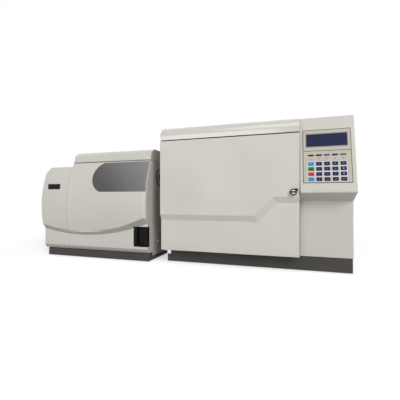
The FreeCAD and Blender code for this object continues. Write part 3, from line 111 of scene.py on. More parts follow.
def centredBox(name, *size):
    half = [side / 2 for side in size]
    return startBox(name, [-side for side in half], half)


def startTube(name, centre, radius, depth, axis="Y", sides=48):
    turn = {"X": (0, math.pi / 2, 0), "Y": (math.pi / 2, 0, 0), "Z": (0, 0, 0)}[axis]
    bpy.ops.object.select_all(action="DESELECT")
    bpy.ops.mesh.primitive_cylinder_add(vertices=sides, radius=radius, depth=depth, location=centre, rotation=turn)
    piece = bpy.context.object
    piece.name = name
    settle()
    return piece


def modify(piece, kind, **values):
    wake(piece)
    modifier = piece.modifiers.new(kind.lower(), kind)
    for key, value in values.items():
        setattr(modifier, key, value)
    bpy.ops.object.modifier_apply(modifier=modifier.name)


def carve(piece, *cutters):
    for cutter in cutters:
        modify(piece, "BOOLEAN", object=cutter, operation="DIFFERENCE", solver="EXACT")
        bpy.data.objects.remove(cutter)


def joinTo(piece, *others):
    wake(piece)
    for other in others:
        other.select_set(True)
    bpy.ops.object.join()


def smoothOff(piece, angle=32):
    wake(piece)
    bpy.ops.object.shade_smooth_by_angle(angle=math.radians(angle))
    modify(piece, "WEIGHTED_NORMAL", keep_sharp=True, weight=60)


def softEdges(piece, width, segments=3, angle=32):
    modify(piece, "BEVEL", width=width, segments=segments, limit_method="ANGLE", angle_limit=math.radians(angle),
           harden_normals=False)
    smoothOff(piece, angle)


def dress(piece, material):
    piece.data.materials.clear()
    piece.data.materials.append(material)


def finishPiece(piece, body, slotName, material, *stoodFor):
    dress(piece, material)
    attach(piece, body)
    if stoodFor:
        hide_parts(*stoodFor)
    return piece


def softCopy(node, width, segments=2, angle=32):
    # a merged copy of a node whose folded and moulded edges are then rounded
    source = cadNodes[node]
    mesh = source.data.copy()
    piece = bpy.data.objects.new(node + "Soft", mesh)
    bpy.context.scene.collection.objects.link(piece)
    wake(piece)
    bpy.ops.mesh.customdata_custom_splitnormals_clear()
    bpy.ops.object.mode_set(mode="EDIT")
    bpy.ops.mesh.select_all(action="SELECT")
    bpy.ops.mesh.remove_doubles(threshold=0.00002)
    bpy.ops.mesh.dissolve_limited(angle_limit=math.radians(0.4))
    done()
    softEdges(piece, width, segments, angle)
    return piece


# effects that several finishes share
def newGroup(name, inputs, outputs):
    group = bpy.data.node_groups.new(name, "ShaderNodeTree")
    for label, kind, value in inputs:
        socket = group.interface.new_socket(name=label, in_out="INPUT", socket_type="NodeSocket" + kind)
        socket.default_value = value
    for label, kind in outputs:
        group.interface.new_socket(name=label, in_out="OUTPUT", socket_type="NodeSocket" + kind)
    start = group.nodes.new("NodeGroupInput")
    end = group.nodes.new("NodeGroupOutput")
    return group, start, end


def addNode(tree, kind, operation=None, **values):
    # a node and its fixed values; an underscore stands for the space in a socket's name
    node = tree.nodes.new(kind)
    if operation:
        node.operation = operation
    for label, value in values.items():
        node.inputs[label.replace("_", " ")].default_value = value
    return node


def makeMixer(tree, **values):
    # its sockets can be found by name only once it mixes colours
    mixer = tree.nodes.new("ShaderNodeMix")
    mixer.data_type = "RGBA"
    for label, value in values.items():
        mixer.inputs[label].default_value = value
    return mixer


def linkUp(tree, *routes):
    # each route goes from a node's output to a node's input
    for source, output, target, entry in routes:
        tree.links.new(source.outputs[output], target.inputs[entry])


def makeGrainTone():
    # soft cloudy tone and a fine grain, for paint and moulded plastic
    group, start, end = newGroup(
        "grainTone",
        [("Color", "Color", (0.8, 0.8, 0.8, 1)), ("Shade", "Color", (0.7, 0.7, 0.7, 1)), ("Tone Scale", "Float", 6),
         ("Grain Scale", "Float", 900), ("Rough From", "Float", 0.4), ("Rough To", "Float", 0.5)],
        [("Color", "Color"), ("Roughness", "Float"), ("Height", "Float")])
    place = addNode(group, "ShaderNodeTexCoord")
    cloud = addNode(group, "ShaderNodeTexNoise", Detail=4)
    grain = addNode(group, "ShaderNodeTexNoise", Detail=2)
    spread = addNode(group, "ShaderNodeMapRange", From_Min=0.35, From_Max=0.68)
    rough = addNode(group, "ShaderNodeMapRange")
    mixer = makeMixer(group)
    linkUp(group, (place, "Object", cloud, "Vector"), (place, "Object", grain, "Vector"),
           (start, "Tone Scale", cloud, "Scale"), (start, "Grain Scale", grain, "Scale"),
           (cloud, "Fac", spread, "Value"), (spread, "Result", mixer, "Factor"), (start, "Color", mixer, "A"),
           (start, "Shade", mixer, "B"), (spread, "Result", rough, "Value"), (start, "Rough From", rough, "To Min"),
           (start, "Rough To", rough, "To Max"), (mixer, "Result", end, "Color"), (rough, "Result", end, "Roughness"),
           (grain, "Fac", end, "Height"))
    return group


def makeBrushed():
    # long fine lines, drawn out along the axis with the lowest stretch
    group, start, end = newGroup(
        "brushedLines",
        [("Color", "Color", (0.6, 0.6, 0.6, 1)), ("Dark", "Color", (0.4, 0.4, 0.4, 1)),
         ("Stretch", "Vector", (20, 1200, 1200)), ("Rough From", "Float", 0.25), ("Rough To", "Float", 0.42)],
        [("Color", "Color"), ("Roughness", "Float"), ("Height", "Float")])
    place = addNode(group, "ShaderNodeTexCoord")
    stretch = addNode(group, "ShaderNodeVectorMath", "MULTIPLY")
    lines = addNode(group, "ShaderNodeTexNoise", Scale=1, Detail=3)
    rough = addNode(group, "ShaderNodeMapRange")
    mixer = makeMixer(group)
    linkUp(group, (place, "Object", stretch, 0), (start, "Stretch", stretch, 1), (stretch, "Vector", lines, "Vector"),
           (lines, "Fac", mixer, "Factor"), (start, "Color", mixer, "A"), (start, "Dark", mixer, "B"),
           (lines, "Fac", rough, "Value"), (start, "Rough From", rough, "To Min"),
           (start, "Rough To", rough, "To Max"), (mixer, "Result", end, "Color"), (rough, "Result", end, "Roughness"),
           (lines, "Fac", end, "Height"))
    return group


def makeSpeckle():
    # small scattered flecks
    group, start, end = newGroup(
        "fleck",
        [("Color", "Color", (0.1, 0.1, 0.1, 1)), ("Spot", "Color", (0.2, 0.2, 0.2, 1)), ("Scale", "Float", 500),
         ("From", "Float", 0.55), ("To", "Float", 0.7)],
        [("Color", "Color"), ("Mask", "Float")])
    place = addNode(group, "ShaderNodeTexCoord")
    spots = addNode(group, "ShaderNodeTexNoise", Detail=1.5)
    mask = addNode(group, "ShaderNodeMapRange")
    mixer = makeMixer(group)
    linkUp(group, (place, "Object", spots, "Vector"), (start, "Scale", spots, "Scale"), (spots, "Fac", mask, "Value"),
           (start, "From", mask, "From Min"), (start, "To", mask, "From Max"), (mask, "Result", mixer, "Factor"),
           (start, "Color", mixer, "A"), (start, "Spot", mixer, "B"), (mixer, "Result", end, "Color"),
           (mask, "Result", end, "Mask"))
    return group


def makeDustLow():
    # a light film of dust and scuffs that gathers towards the bench
    group, start, end = newGroup(
        "dustLow",
        [("Color", "Color", (0.6, 0.6, 0.6, 1)), ("Dust", "Color", (0.4, 0.38, 0.34, 1)), ("Up To", "Float", 0.09)],
        [("Color", "Color"), ("Mask", "Float")])
    place = addNode(group, "ShaderNodeTexCoord")
    parts = addNode(group, "ShaderNodeSeparateXYZ")
    fall = addNode(group, "ShaderNodeMapRange", To_Min=0.5, To_Max=0)
    cloud = addNode(group, "ShaderNodeTexNoise", Scale=40, Detail=5)
    times = addNode(group, "ShaderNodeMath", "MULTIPLY")
    mixer = makeMixer(group)
    linkUp(group, (place, "Object", parts, "Vector"), (place, "Object", cloud, "Vector"), (parts, "Z", fall, "Value"),
           (start, "Up To", fall, "From Max"), (fall, "Result", times, 0), (cloud, "Fac", times, 1),
           (times, "Value", mixer, "Factor"), (start, "Color", mixer, "A"), (start, "Dust", mixer, "B"),
           (mixer, "Result", end, "Color"), (times, "Value", end, "Mask"))
    return group


grainTone = makeGrainTone()
brushedLines = makeBrushed()
fleck = makeSpeckle()
dustLow = makeDustLow()
print("shared effects made")


# finishes
def startMaterial(name, **constants):
    material = bpy.data.materials.new(name)
    material.use_nodes = True
    shader = material.node_tree.nodes["Principled BSDF"]
    for label, value in constants.items():
        shader.inputs[label.replace("_", " ")].default_value = value
    return material, shader


def addGroup(material, group, **values):
    node = material.node_tree.nodes.new("ShaderNodeGroup")
    node.node_tree = group
    for label, value in values.items():
        node.inputs[label.replace("_", " ")].default_value = value
    return node


fineBump = 0.0001


def addBump(material, shader, source, strength, distance):
    tree = material.node_tree
    bump = addNode(tree, "ShaderNodeBump", Strength=strength, Distance=distance)
    tree.links.new(source, bump.inputs["Height"])
    linkUp(tree, (bump, "Normal", shader, "Normal"))


def rgba(color):
    return (*color, 1)


def tonedMaterial(name, color, shade, rough, grain=900, tone=6, bump=0.15, depth=0.0002, dust=None, **constants):
    # paint and plastic: cloud, grain and, near the bench, dust
    material, shader = startMaterial(name, **constants)
    links = material.node_tree.links
    node = addGroup(material, grainTone, Color=rgba(color), Shade=rgba(shade), Tone_Scale=tone, Grain_Scale=grain,
                    Rough_From=rough[0], Rough_To=rough[1])
    out = node.outputs["Color"]
    if dust:
        film = addGroup(material, dustLow, Dust=rgba(dust))
        links.new(out, film.inputs["Color"])
        out = film.outputs["Color"]
    links.new(out, shader.inputs["Base Color"])
    links.new(node.outputs["Roughness"], shader.inputs["Roughness"])
    addBump(material, shader, node.outputs["Height"], bump, depth)
    return material


def brushedMaterial(name, color, dark, stretch, rough, bump=0.08, **constants):
    material, shader = startMaterial(name, Metallic=1, **constants)
    links = material.node_tree.links
    node = addGroup(material, brushedLines, Color=rgba(color), Dark=rgba(dark), Stretch=stretch,
                    Rough_From=rough[0], Rough_To=rough[1])
    links.new(node.outputs["Color"], shader.inputs["Base Color"])
    links.new(node.outputs["Roughness"], shader.inputs["Roughness"])
    addBump(material, shader, node.outputs["Height"], bump, fineBump)
    return material


def fleckedMaterial(name, color, spot, scale, span, bump=0.05, **constants):
    material, shader = startMaterial(name, **constants)
    node = addGroup(material, fleck, Color=rgba(color), Spot=rgba(spot), Scale=scale, From=span[0], To=span[1])
    material.node_tree.links.new(node.outputs["Color"], shader.inputs["Base Color"])
    addBump(material, shader, node.outputs["Mask"], bump, fineBump)
    return material


paintLook = {"color": (0.575, 0.55, 0.505), "shade": (0.545, 0.52, 0.475), "dust": (0.40, 0.38, 0.34)}
cabinetPaint = tonedMaterial("cabinetPaint", paintLook["color"], paintLook["shade"], (0.4, 0.48), grain=1100,
                             bump=0.12, dust=paintLook["dust"], Specular_IOR_Level=0.35)
mouldedShell = tonedMaterial("mouldedShell", (0.55, 0.527, 0.486), (0.528, 0.505, 0.463), (0.38, 0.46), grain=1500,
                             bump=0.1, dust=paintLook["dust"], Specular_IOR_Level=0.5)
# colour and mask of the painted shade under the detector cover's curved edge
shelfShadeLook = {"tone": (0.35, 0.334, 0.307), "from": 0.3, "to": 0.42, "middle": (-0.3935, 0, 0.932), "radius": 0.8208,
             "blur": 0.0008, "leanFrom": 0.07, "leanTo": 0.1}


def shadeUnderShelf(material):
    # painted shade: a darker tone under the curved edge, on the downward sloping shelf and the bowed face just over
    # it, where the overhang shades them
    tree, look = material.node_tree, shelfShadeLook
    shader = tree.nodes["Principled BSDF"]
    surface = addNode(tree, "ShaderNodeNewGeometry")
    parts = addNode(tree, "ShaderNodeSeparateXYZ")
    turn = addNode(tree, "ShaderNodeMapRange", From_Min=-look["from"], From_Max=-look["to"])
    lean = addNode(tree, "ShaderNodeMapRange", From_Min=-look["leanFrom"], From_Max=-look["leanTo"])
    place = addNode(tree, "ShaderNodeTexCoord")
    upright = addNode(tree, "ShaderNodeVectorMath", "MULTIPLY")
    upright.inputs[1].default_value = (1, 0, 1)
    away = addNode(tree, "ShaderNodeVectorMath", "DISTANCE")
    away.inputs[1].default_value = look["middle"]
    near = addNode(tree, "ShaderNodeMapRange", From_Min=look["radius"] - look["blur"],
                   From_Max=look["radius"] + look["blur"])
    both = addNode(tree, "ShaderNodeMath", "MULTIPLY")
    either = addNode(tree, "ShaderNodeMath", "MAXIMUM")
    mixer = makeMixer(tree, B=rgba(look["tone"]))
    linkUp(tree, (surface, "Normal", parts, "Vector"), (parts, "Z", turn, "Value"), (parts, "Z", lean, "Value"),
           (place, "Object", upright, 0), (upright, "Vector", away, 0), (away, "Value", near, "Value"),
           (near, "Result", both, 0), (lean, "Result", both, 1), (both, "Value", either, 0),
           (turn, "Result", either, 1), (either, "Value", mixer, "Factor"))
    tree.links.new(shader.inputs["Base Color"].links[0].from_socket, mixer.inputs["A"])
    linkUp(tree, (mixer, "Result", shader, "Base Color"))


# the moulded shell carries the painted shade under its curved edge
shadeUnderShelf(mouldedShell)
consoleShell = tonedMaterial("consoleShell", (0.52, 0.5, 0.46), (0.498, 0.478, 0.438), (0.42, 0.5), grain=1500,
                             bump=0.1, dust=paintLook["dust"], Specular_IOR_Level=0.4)
glossLid = tonedMaterial("glossLid", (0.51, 0.489, 0.449), (0.49, 0.468, 0.428), (0.3, 0.36), grain=1300, bump=0.06,
                         Specular_IOR_Level=0.5, Coat_Weight=1, Coat_Roughness=0.1)
# painted shade: the cabinet paint made darker for the detector's side panel and port plate, for the shade in the
# narrow gap between the units
sidePaintShaded = tonedMaterial("sidePaintShaded", (0.47, 0.457, 0.42), (0.44, 0.427, 0.391), (0.44, 0.52), grain=1100, bump=0.12,
                          dust=paintLook["dust"], Specular_IOR_Level=0.3)
deckPaint = tonedMaterial("deckPaint", (0.5, 0.49, 0.455), (0.46, 0.45, 0.415), (0.4, 0.5), grain=1000, bump=0.12)
plinthPaint = tonedMaterial("plinthPaint", (0.06, 0.057, 0.053), (0.048, 0.045, 0.042), (0.5, 0.62), grain=1400,
                            bump=0.2, dust=(0.07, 0.066, 0.06), Specular_IOR_Level=0.15)
footRubber = tonedMaterial("footRubber", (0.022, 0.022, 0.022), (0.03, 0.03, 0.029), (0.75, 0.9), grain=800, bump=0.3)
blackMoulding = tonedMaterial("blackMoulding", (0.005, 0.005, 0.005), (0.008, 0.008, 0.008), (0.42, 0.55), grain=1800,
                              bump=0.2, Specular_IOR_Level=0.1)
knobBlack = tonedMaterial("knobBlack", (0.005, 0.005, 0.006), (0.009, 0.009, 0.01), (0.36, 0.46), grain=1500,
                          bump=0.08, Specular_IOR_Level=0.15)
motorCasing = tonedMaterial("motorCasing", (0.05, 0.05, 0.055), (0.035, 0.035, 0.04), (0.4, 0.52), grain=700,
                            bump=0.25)
mineralWool = tonedMaterial("mineralWool", (0.66, 0.6, 0.44), (0.5, 0.44, 0.3), (0.9, 1), grain=260, tone=30,
                            bump=0.9, depth=0.002)
boardGreen = fleckedMaterial("boardGreen", (0.012, 0.09, 0.035), (0.45, 0.42, 0.3), 260, (0.66, 0.68), Roughness=0.4)
stainless = brushedMaterial("stainless", (0.62, 0.61, 0.59), (0.5, 0.49, 0.47), (30, 900, 900), (0.24, 0.4))
turnedMetal = brushedMaterial("turnedMetal", (0.6, 0.59, 0.57), (0.45, 0.44, 0.42), (900, 900, 40), (0.22, 0.36))
lineSteel = brushedMaterial("lineSteel", (0.72, 0.71, 0.68), (0.6, 0.59, 0.57), (25, 700, 700), (0.16, 0.26),
                            bump=0.04)
brightSteel = brushedMaterial("brightSteel", (0.75, 0.75, 0.74), (0.66, 0.66, 0.65), (500, 500, 500), (0.12, 0.2),
                              bump=0.03)
milledAluminium = brushedMaterial("milledAluminium", (0.74, 0.74, 0.75), (0.62, 0.62, 0.63), (60, 1000, 300),
                                  (0.3, 0.45))
windingLook = {"pitch": 0.0023, "wire": (0.36, 0.12, 0.02), "groove": (0.07, 0.022, 0.006), "deep": 0.0008,
               "bump": 0.7, "waver": 0.15, "waveRate": 20}


def makeWindingFinish():
    # amber capillary laid turn beside turn round the cage
    look = windingLook
    material, shader = startMaterial("columnAmber", Roughness=0.22)
    tree = material.node_tree
    place = addNode(tree, "ShaderNodeTexCoord")
    turns = addNode(tree, "ShaderNodeTexWave", Scale=2 * math.pi / (look["waveRate"] * look["pitch"]),
                    Distortion=look["waver"])
    turns.bands_direction = "Y"
    tint = makeMixer(tree, A=rgba(look["groove"]), B=rgba(look["wire"]))
    linkUp(tree, (place, "Object", turns, "Vector"), (turns, "Fac", tint, "Factor"),
           (tint, "Result", shader, "Base Color"))
    addBump(material, shader, turns.outputs["Fac"], look["bump"], look["deep"])
    return material


columnAmber = makeWindingFinish()
# the pale end of the tint is a painted reflection across the smoked sheet
windowSheenLook = {"dark": (0.078, 0.071, 0.071), "light": (0.25, 0.243, 0.246), "spot": 0.16, "from": 0.0, "to": 0.27,
              "slant": (1, 0, 1), "fleckScale": 330, "fleckFrom": 0.42, "fleckTo": 0.62, "bump": 0.03}


def makeWindowFinish():
    # smoked sheet with fine flecks, paler towards its upper right as a painted reflection
    look = windowSheenLook
    material, shader = startMaterial("smokedWindow", Roughness=0.3, Specular_IOR_Level=0.15)
    tree = material.node_tree
    place = addNode(tree, "ShaderNodeTexCoord")
    slant = addNode(tree, "ShaderNodeVectorMath", "DOT_PRODUCT")
    slant.inputs[1].default_value = look["slant"]
    fade = addNode(tree, "ShaderNodeMapRange", From_Min=look["from"], From_Max=look["to"])
    tint = makeMixer(tree, A=rgba(look["dark"]), B=rgba(look["light"]))
    spots = addGroup(material, fleck, Scale=look["fleckScale"], From=look["fleckFrom"], To=look["fleckTo"])
    blend = makeMixer(tree, Factor=look["spot"])
    linkUp(tree, (place, "Object", slant, 0), (slant, "Value", fade, "Value"), (fade, "Result", tint, "Factor"),
           (tint, "Result", blend, "A"), (spots, "Color", blend, "B"), (blend, "Result", shader, "Base Color"))
    addBump(material, shader, spots.outputs["Mask"], look["bump"], fineBump)
    return material


smokedWindow = makeWindowFinish()
overlayFilm = tonedMaterial("overlayFilm", (0.45, 0.422, 0.36), (0.428, 0.4, 0.338), (0.42, 0.5), grain=2200,
                            bump=0.06, Specular_IOR_Level=0.3)
displayGlass = tonedMaterial("displayGlass", (0.012, 0.017, 0.052), (0.017, 0.023, 0.065), (0.16, 0.22), grain=300,
                             bump=0.0, Specular_IOR_Level=0.15)
lampLens = tonedMaterial("lampLens", (0.03, 0.008, 0.05), (0.042, 0.014, 0.066), (0.2, 0.28), grain=500, bump=0.0,
                         Specular_IOR_Level=0.25)


keyShade = 0.82


def keyMaterial(name, color):
    shade = tuple(value * keyShade for value in color)
    return tonedMaterial(name, color, shade, (0.34, 0.42), grain=2600, tone=60, bump=0.05, Specular_IOR_Level=0.2)


def inkMaterial(name, color, shade):
    return tonedMaterial(name, color, shade, (0.45, 0.55), bump=0.0)


lampPale = tonedMaterial("lampPale", (0.075, 0.055, 0.085), (0.1, 0.08, 0.11), (0.15, 0.22), grain=500, bump=0.0)
lineInk = inkMaterial("lineInk", (0.028, 0.02, 0.018), (0.04, 0.03, 0.026))
haloInk = inkMaterial("haloInk", (0.7, 0.69, 0.66), (0.66, 0.65, 0.62))
legendInk = inkMaterial("legendInk", (0.2, 0.24, 0.4), (0.24, 0.28, 0.45))
arrowInk = inkMaterial("arrowInk", (0.65, 0.68, 0.75), (0.6, 0.63, 0.7))
keyColors = {"keyNavy": (0.012, 0.014, 0.075), "keySky": (0.03, 0.27, 0.58), "keyGreen": (0.01, 0.16, 0.03),
             "keyRed": (0.62, 0.03, 0.055)}
keyFinish = {name: keyMaterial(name, color) for name, color in keyColors.items()}
print("finishes made:", len(bpy.data.materials))

# every node of the frame gets its finish
nodeFinish = {
    "rubber_feet": footRubber, "gc_plinth": plinthPaint, "ms_plinth": plinthPaint, "gc_left_panel": cabinetPaint,
    "gc_right_panel": cabinetPaint, "gc_rear_panel": cabinetPaint, "gc_front_frame": deckPaint,
    "console_housing": mouldedShell, "console_overlay": overlayFilm, "display_window": displayGlass,
    "status_lamps": lampLens, "oven_door": cabinetPaint, "oven_door_plug": stainless, "door_latch_knob": knobBlack,
    "cabinet_hinges": brightSteel, "gc_top_cover": glossLid, "oven_liner": stainless,
    "oven_insulation": mineralWool, "fan_motor": motorCasing, "oven_fan": stainless, "oven_baffle": stainless,
    "capillary_column": columnAmber, "column_cage": stainless, "injection_port": turnedMetal,
    "transfer_line": lineSteel, "transfer_port_ring": blackMoulding, "oven_vent_flap": stainless,
    "ms_front_cover": mouldedShell, "ms_window": smokedWindow, "ms_grip": blackMoulding, "pod_shell": mouldedShell,
    "switch_bezel": blackMoulding, "power_rocker_1": blackMoulding, "power_rocker_2": blackMoulding,
    "ms_top_cover": mouldedShell, "ms_side_panel": sidePaintShaded, "vacuum_manifold": milledAluminium,
    "turbo_pump": motorCasing, "control_boards": boardGreen, "rear_fittings": blackMoulding,
}
firstKeys = {1: "keySky", 2: "keyGreen", 3: "keyRed", 4: "keySky"}
for row in range(1, keyRows + 1):
    for column in range(1, keyColumns + 1):
        nodeFinish["key_r%d_c%d" % (row, column)] = keyFinish[firstKeys[row] if column == 1 else "keyNavy"]
for node, piece in cadNodes.items():
    dress(piece, nodeFinish[node])
print("nodes dressed:", len(nodeFinish))


# console: housing, overlay print, keys and lamps
consoleLook = {
    "left": 0.4245, "right": 0.5835, "face": -0.231, "back": -0.206, "low": 0.05, "top": 0.5, "reach": 0.057,
    "slopeEnd": 0.257, "lip": 0.2592, "nose": 0.0032, "tuck": 0.0006, "undercut": 0.2312, "edge": 0.0013,
    "columnEdge": 0.0016, "bay": (0.067, 0.004, 0.083),
}
slopeRise = consoleLook["top"] - consoleLook["slopeEnd"]
slopeTilt = -math.atan2(consoleLook["reach"], slopeRise)
slopeCos, slopeSin = math.cos(slopeTilt), -math.sin(slopeTilt)


def slopePoint(x, out, down):
    # out stands proud of the slope, down runs along it from the top
    return Vector((x, consoleLook["face"] - out * slopeCos - down * slopeSin,
                   consoleLook["top"] + out * slopeSin - down * slopeCos))


def layOnSlope(piece, x, out, down):
    wake(piece)
    piece.rotation_euler = (slopeTilt, 0, 0)
    piece.location = slopePoint(x, out, down)
    settle()
    return piece


def copyPiece(piece, name):
    # each copy has its own mesh
    wake(piece)
    bpy.ops.object.duplicate(linked=False)
    copy = bpy.context.object
    copy.name = name
    return copy


def slopeDown(place):
    # how far along the slope a place lies
    return -(place.y - consoleLook["face"]) * slopeSin - (place.z - consoleLook["top"]) * slopeCos


def boxMiddle(node):
    low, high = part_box(node)
    return (Vector(low) + Vector(high)) / 2


overlayLow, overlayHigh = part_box("console_overlay")
displayLow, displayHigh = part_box("display_window")
dividerDown = 0.115
overlayLook = {"left": overlayLow[0], "width": overlayHigh[0] - overlayLow[0], "drop": 0.043, "height": 0.177,
               "divider": dividerDown, "film": 0.001, "line": 0.0018, "ink": 0.00012, "displayLine": 0.001,
               "lampDrop": slopeDown(boxMiddle("status_lamps")) - dividerDown, "markHalf": 0.0016,
               "markFrom": 0.0248, "markTo": 0.0276, "haloHalf": (0.0101, 0.0077), "haloLine": 0.0012}


def makeHousing():
    look = consoleLook
    housing = startBox("consoleHousing", (look["left"], look["face"], look["low"]),
                       (look["right"], look["back"], look["top"]))
    for height in (look["undercut"], look["lip"] - look["nose"], look["lip"]):
        pick(housing, "VERT", everything)
        bpy.ops.mesh.bisect(plane_co=(0, 0, height), plane_no=(0, 0, 1))
        done()
    lipReach = look["reach"] * (look["top"] - look["lip"]) / slopeRise
    for height, reach in ((look["lip"], lipReach), (look["lip"] - look["nose"], lipReach - look["tuck"])):
        pick(housing, "VERT", lambda place, none: place.y < look["face"] + hair and abs(place.z - height) < hair)
        shift(0, -reach, 0)
        done()
    pick(housing, "EDGE", lambda middle, along: abs(along.z) > longEdge and middle.y < look["face"] + hair
         and middle.x < look["left"] + hair and middle.z < look["undercut"])
    bpy.ops.mesh.bevel(offset=look["columnEdge"], segments=5, affect="EDGES")
    done()
    pick(housing, "EDGE", lambda middle, along: middle.y < look["face"] + hair and middle.z > look["undercut"] + hair
         and (abs(along.x) > longEdge or min(middle.x - look["left"], look["right"] - middle.x) < hair))
    bpy.ops.mesh.bevel(offset=look["edge"], segments=4, affect="EDGES", clamp_overlap=True)
    done()
    bay = startBox("keyBay", [-half for half in look["bay"]], look["bay"])
    layOnSlope(bay, overlayLook["left"] + overlayLook["width"] / 2, 0,
               overlayLook["drop"] + overlayLook["height"] / 2)
    carve(housing, bay)
    smoothOff(housing, angle=30)
    finishPiece(housing, "cabinet", "moulded_shell", consoleShell, "console_housing")


makeHousing()
print("console housing made")


def printBar(name, x0, x1, down0, down1):
    # a thin bar of ink on the overlay film
    bar = centredBox(name, x1 - x0, overlayLook["ink"], down1 - down0)
    return layOnSlope(bar, (x0 + x1) / 2, overlayLook["film"] + overlayLook["ink"] / 2, (down0 + down1) / 2)


def printFrame(name, x0, x1, down0, down1, line):
    # an outline: a face inset, its middle taken out, then given the ink's thickness
    bpy.ops.object.select_all(action="DESELECT")
    bpy.ops.mesh.primitive_plane_add(size=1, location=(0, 0, 0), rotation=(math.pi / 2, 0, 0))
    frameLine = bpy.context.object
    frameLine.name = name
    frameLine.scale = (x1 - x0, down1 - down0, 1)
    settle()
    bpy.ops.object.mode_set(mode="EDIT")
    bpy.ops.mesh.select_all(action="SELECT")
    bpy.ops.mesh.inset(thickness=line, depth=0)
    bpy.ops.mesh.delete(type="FACE")
    done()
    modify(frameLine, "SOLIDIFY", thickness=overlayLook["ink"], offset=0)
    return layOnSlope(frameLine, (x0 + x1) / 2, overlayLook["film"] + overlayLook["ink"] / 2, (down0 + down1) / 2)


def keyPlace(row, column):
    middle = boxMiddle("key_r%d_c%d" % (row + 1, column + 1))
    return middle.x, slopeDown(middle)


def makePrint():
    look = overlayLook
    x0, x1 = look["left"], look["left"] + look["width"]
    top, bottom = look["drop"], look["drop"] + look["height"]
    outline = printFrame("overlayLines", x0, x1, top, bottom, look["line"])
    rule = printBar("overlayRule", x0 + look["line"] / 2, x1 - look["line"] / 2, look["divider"] - look["line"] / 2,
                    look["divider"] + look["line"] / 2)
    margin, middle = look["displayLine"] * 2, slopeDown(boxMiddle("display_window"))
    half = (displayHigh[2] - displayLow[2]) / 2 / slopeCos + margin
    bed = printFrame("displayLine", displayLow[0] - margin, displayHigh[0] + margin, middle - half, middle + half,
                     look["displayLine"])
    joinTo(outline, rule, bed)
    finishPiece(outline, "cabinet", "overlay_cream", lineInk)
    marks = []
    for column in range(keyColumns):
        x, down = keyPlace(0, column)
        marks.append(printBar("lampMark%d" % column, x - look["markHalf"], x + look["markHalf"],
                              look["divider"] + look["markFrom"], look["divider"] + look["markTo"]))
    joinTo(*marks)
    marks[0].name = "lampMarks"
    finishPiece(marks[0], "cabinet", "overlay_cream", lineInk)
    rings = []
    wide, tall = look["haloHalf"]
    for row in range(keyRows):
        for column in range(keyColumns):
            x, down = keyPlace(row, column)
            rings.append(printFrame("keyHalo", x - wide, x + wide, down - tall, down + tall, look["haloLine"]))
    joinTo(*rings)
    rings[0].name = "keyHalos"
    finishPiece(rings[0], "cabinet", "overlay_cream", haloInk)


makePrint()
print("overlay print made")

keyLook = {"width": 0.017, "height": 0.0125, "deep": 0.0038, "corner": 0.0018, "edge": 0.0006, "out": -0.0001,
           "rise": 0.6, "dish": 0.25, "legend": 0.0052, "dash": (0.0026, 0.0005), "arrow": 0.0024, "ink": 0.0001,
           "inkOut": 0.00002}
legends = {(1, 2): "7", (1, 3): "8", (1, 4): "9", (2, 2): "4", (2, 3): "5", (2, 4): "6", (3, 2): "1", (3, 3): "2",
           (3, 4): "3", (4, 2): "0"}
arrowTurns = {(2, 5): 0, (3, 5): math.pi}


def makeKeyShape():
    look = keyLook
    cap = centredBox("keyCap", look["width"], look["deep"], look["height"])
    pick(cap, "EDGE", lambda middle, along: abs(along.y) > shortEdge)
    bpy.ops.mesh.bevel(offset=look["corner"], segments=4, affect="EDGES")
    done()
    pick(cap, "FACE", facesFront)
    bpy.ops.mesh.inset(thickness=look["edge"], depth=0)
    shift(0, -look["edge"] * look["rise"], 0)
    bpy.ops.mesh.inset(thickness=look["corner"], depth=0)
    shift(0, look["edge"] * look["dish"], 0)
    done()
    pick(cap, "VERT", everything)
    shift(0, look["edge"] * look["rise"], 0)
    done()
    smoothOff(cap, angle=50)
    return cap


def makeLegend(text, size):
    bpy.ops.object.select_all(action="DESELECT")
    bpy.ops.object.text_add(location=(0, 0, 0), rotation=(math.pi / 2, 0, 0))
    word = bpy.context.object
    word.data.body = text
    word.data.size = size
    word.data.align_x = "CENTER"
    word.data.align_y = "CENTER"
    word.data.extrude = keyLook["ink"]
    bpy.ops.object.convert(target="MESH")
    word.location = (0, -keyLook["deep"] / 2 - keyLook["inkOut"], 0)
    settle()
    return word


def makeArrow(turn):
    # a small solid triangle
    bpy.ops.object.select_all(action="DESELECT")
    bpy.ops.mesh.primitive_cylinder_add(vertices=3, radius=keyLook["arrow"], depth=keyLook["ink"] * 2,
                                        rotation=(math.pi / 2, turn, 0),
                                        location=(0, -keyLook["deep"] / 2 - keyLook["inkOut"], 0))
    settle()
    return bpy.context.object


def makeKeys():
    cap = makeKeyShape()
    face, ink = -keyLook["deep"] / 2, keyLook["ink"]
    wide, tall = keyLook["dash"]
    for row in range(1, keyRows + 1):
        for column in range(1, keyColumns + 1):
            name = "key_r%d_c%d" % (row, column)
            piece = copyPiece(cap, "keyPad_%d_%d" % (row, column))
            dress(piece, keyFinish[firstKeys[row] if column == 1 else "keyNavy"])
            legend = None
            if (row, column) in legends:
                legend = makeLegend(legends[row, column], keyLook["legend"])
            elif (row, column) in arrowTurns:
                legend = makeArrow(arrowTurns[row, column])
            elif column > 1:
                legend = startBox("keyDash", (-wide, face - ink, -tall), (wide, face + ink, tall))
            if legend:
                dress(legend, arrowInk if (row, column) in arrowTurns else legendInk)
                joinTo(piece, legend)
            x, down = keyPlace(row - 1, column - 1)
            layOnSlope(piece, x, keyLook["out"], down)
            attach(piece, name)
            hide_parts(name)
    bpy.data.objects.remove(cap)


makeKeys()
print("keys made")

lampLook = {"length": 0.0178, "height": 0.0062, "deep": 0.0034, "edge": 0.0006, "round": 0.98, "out": 0.0014,
            "pale": (2, 4)}


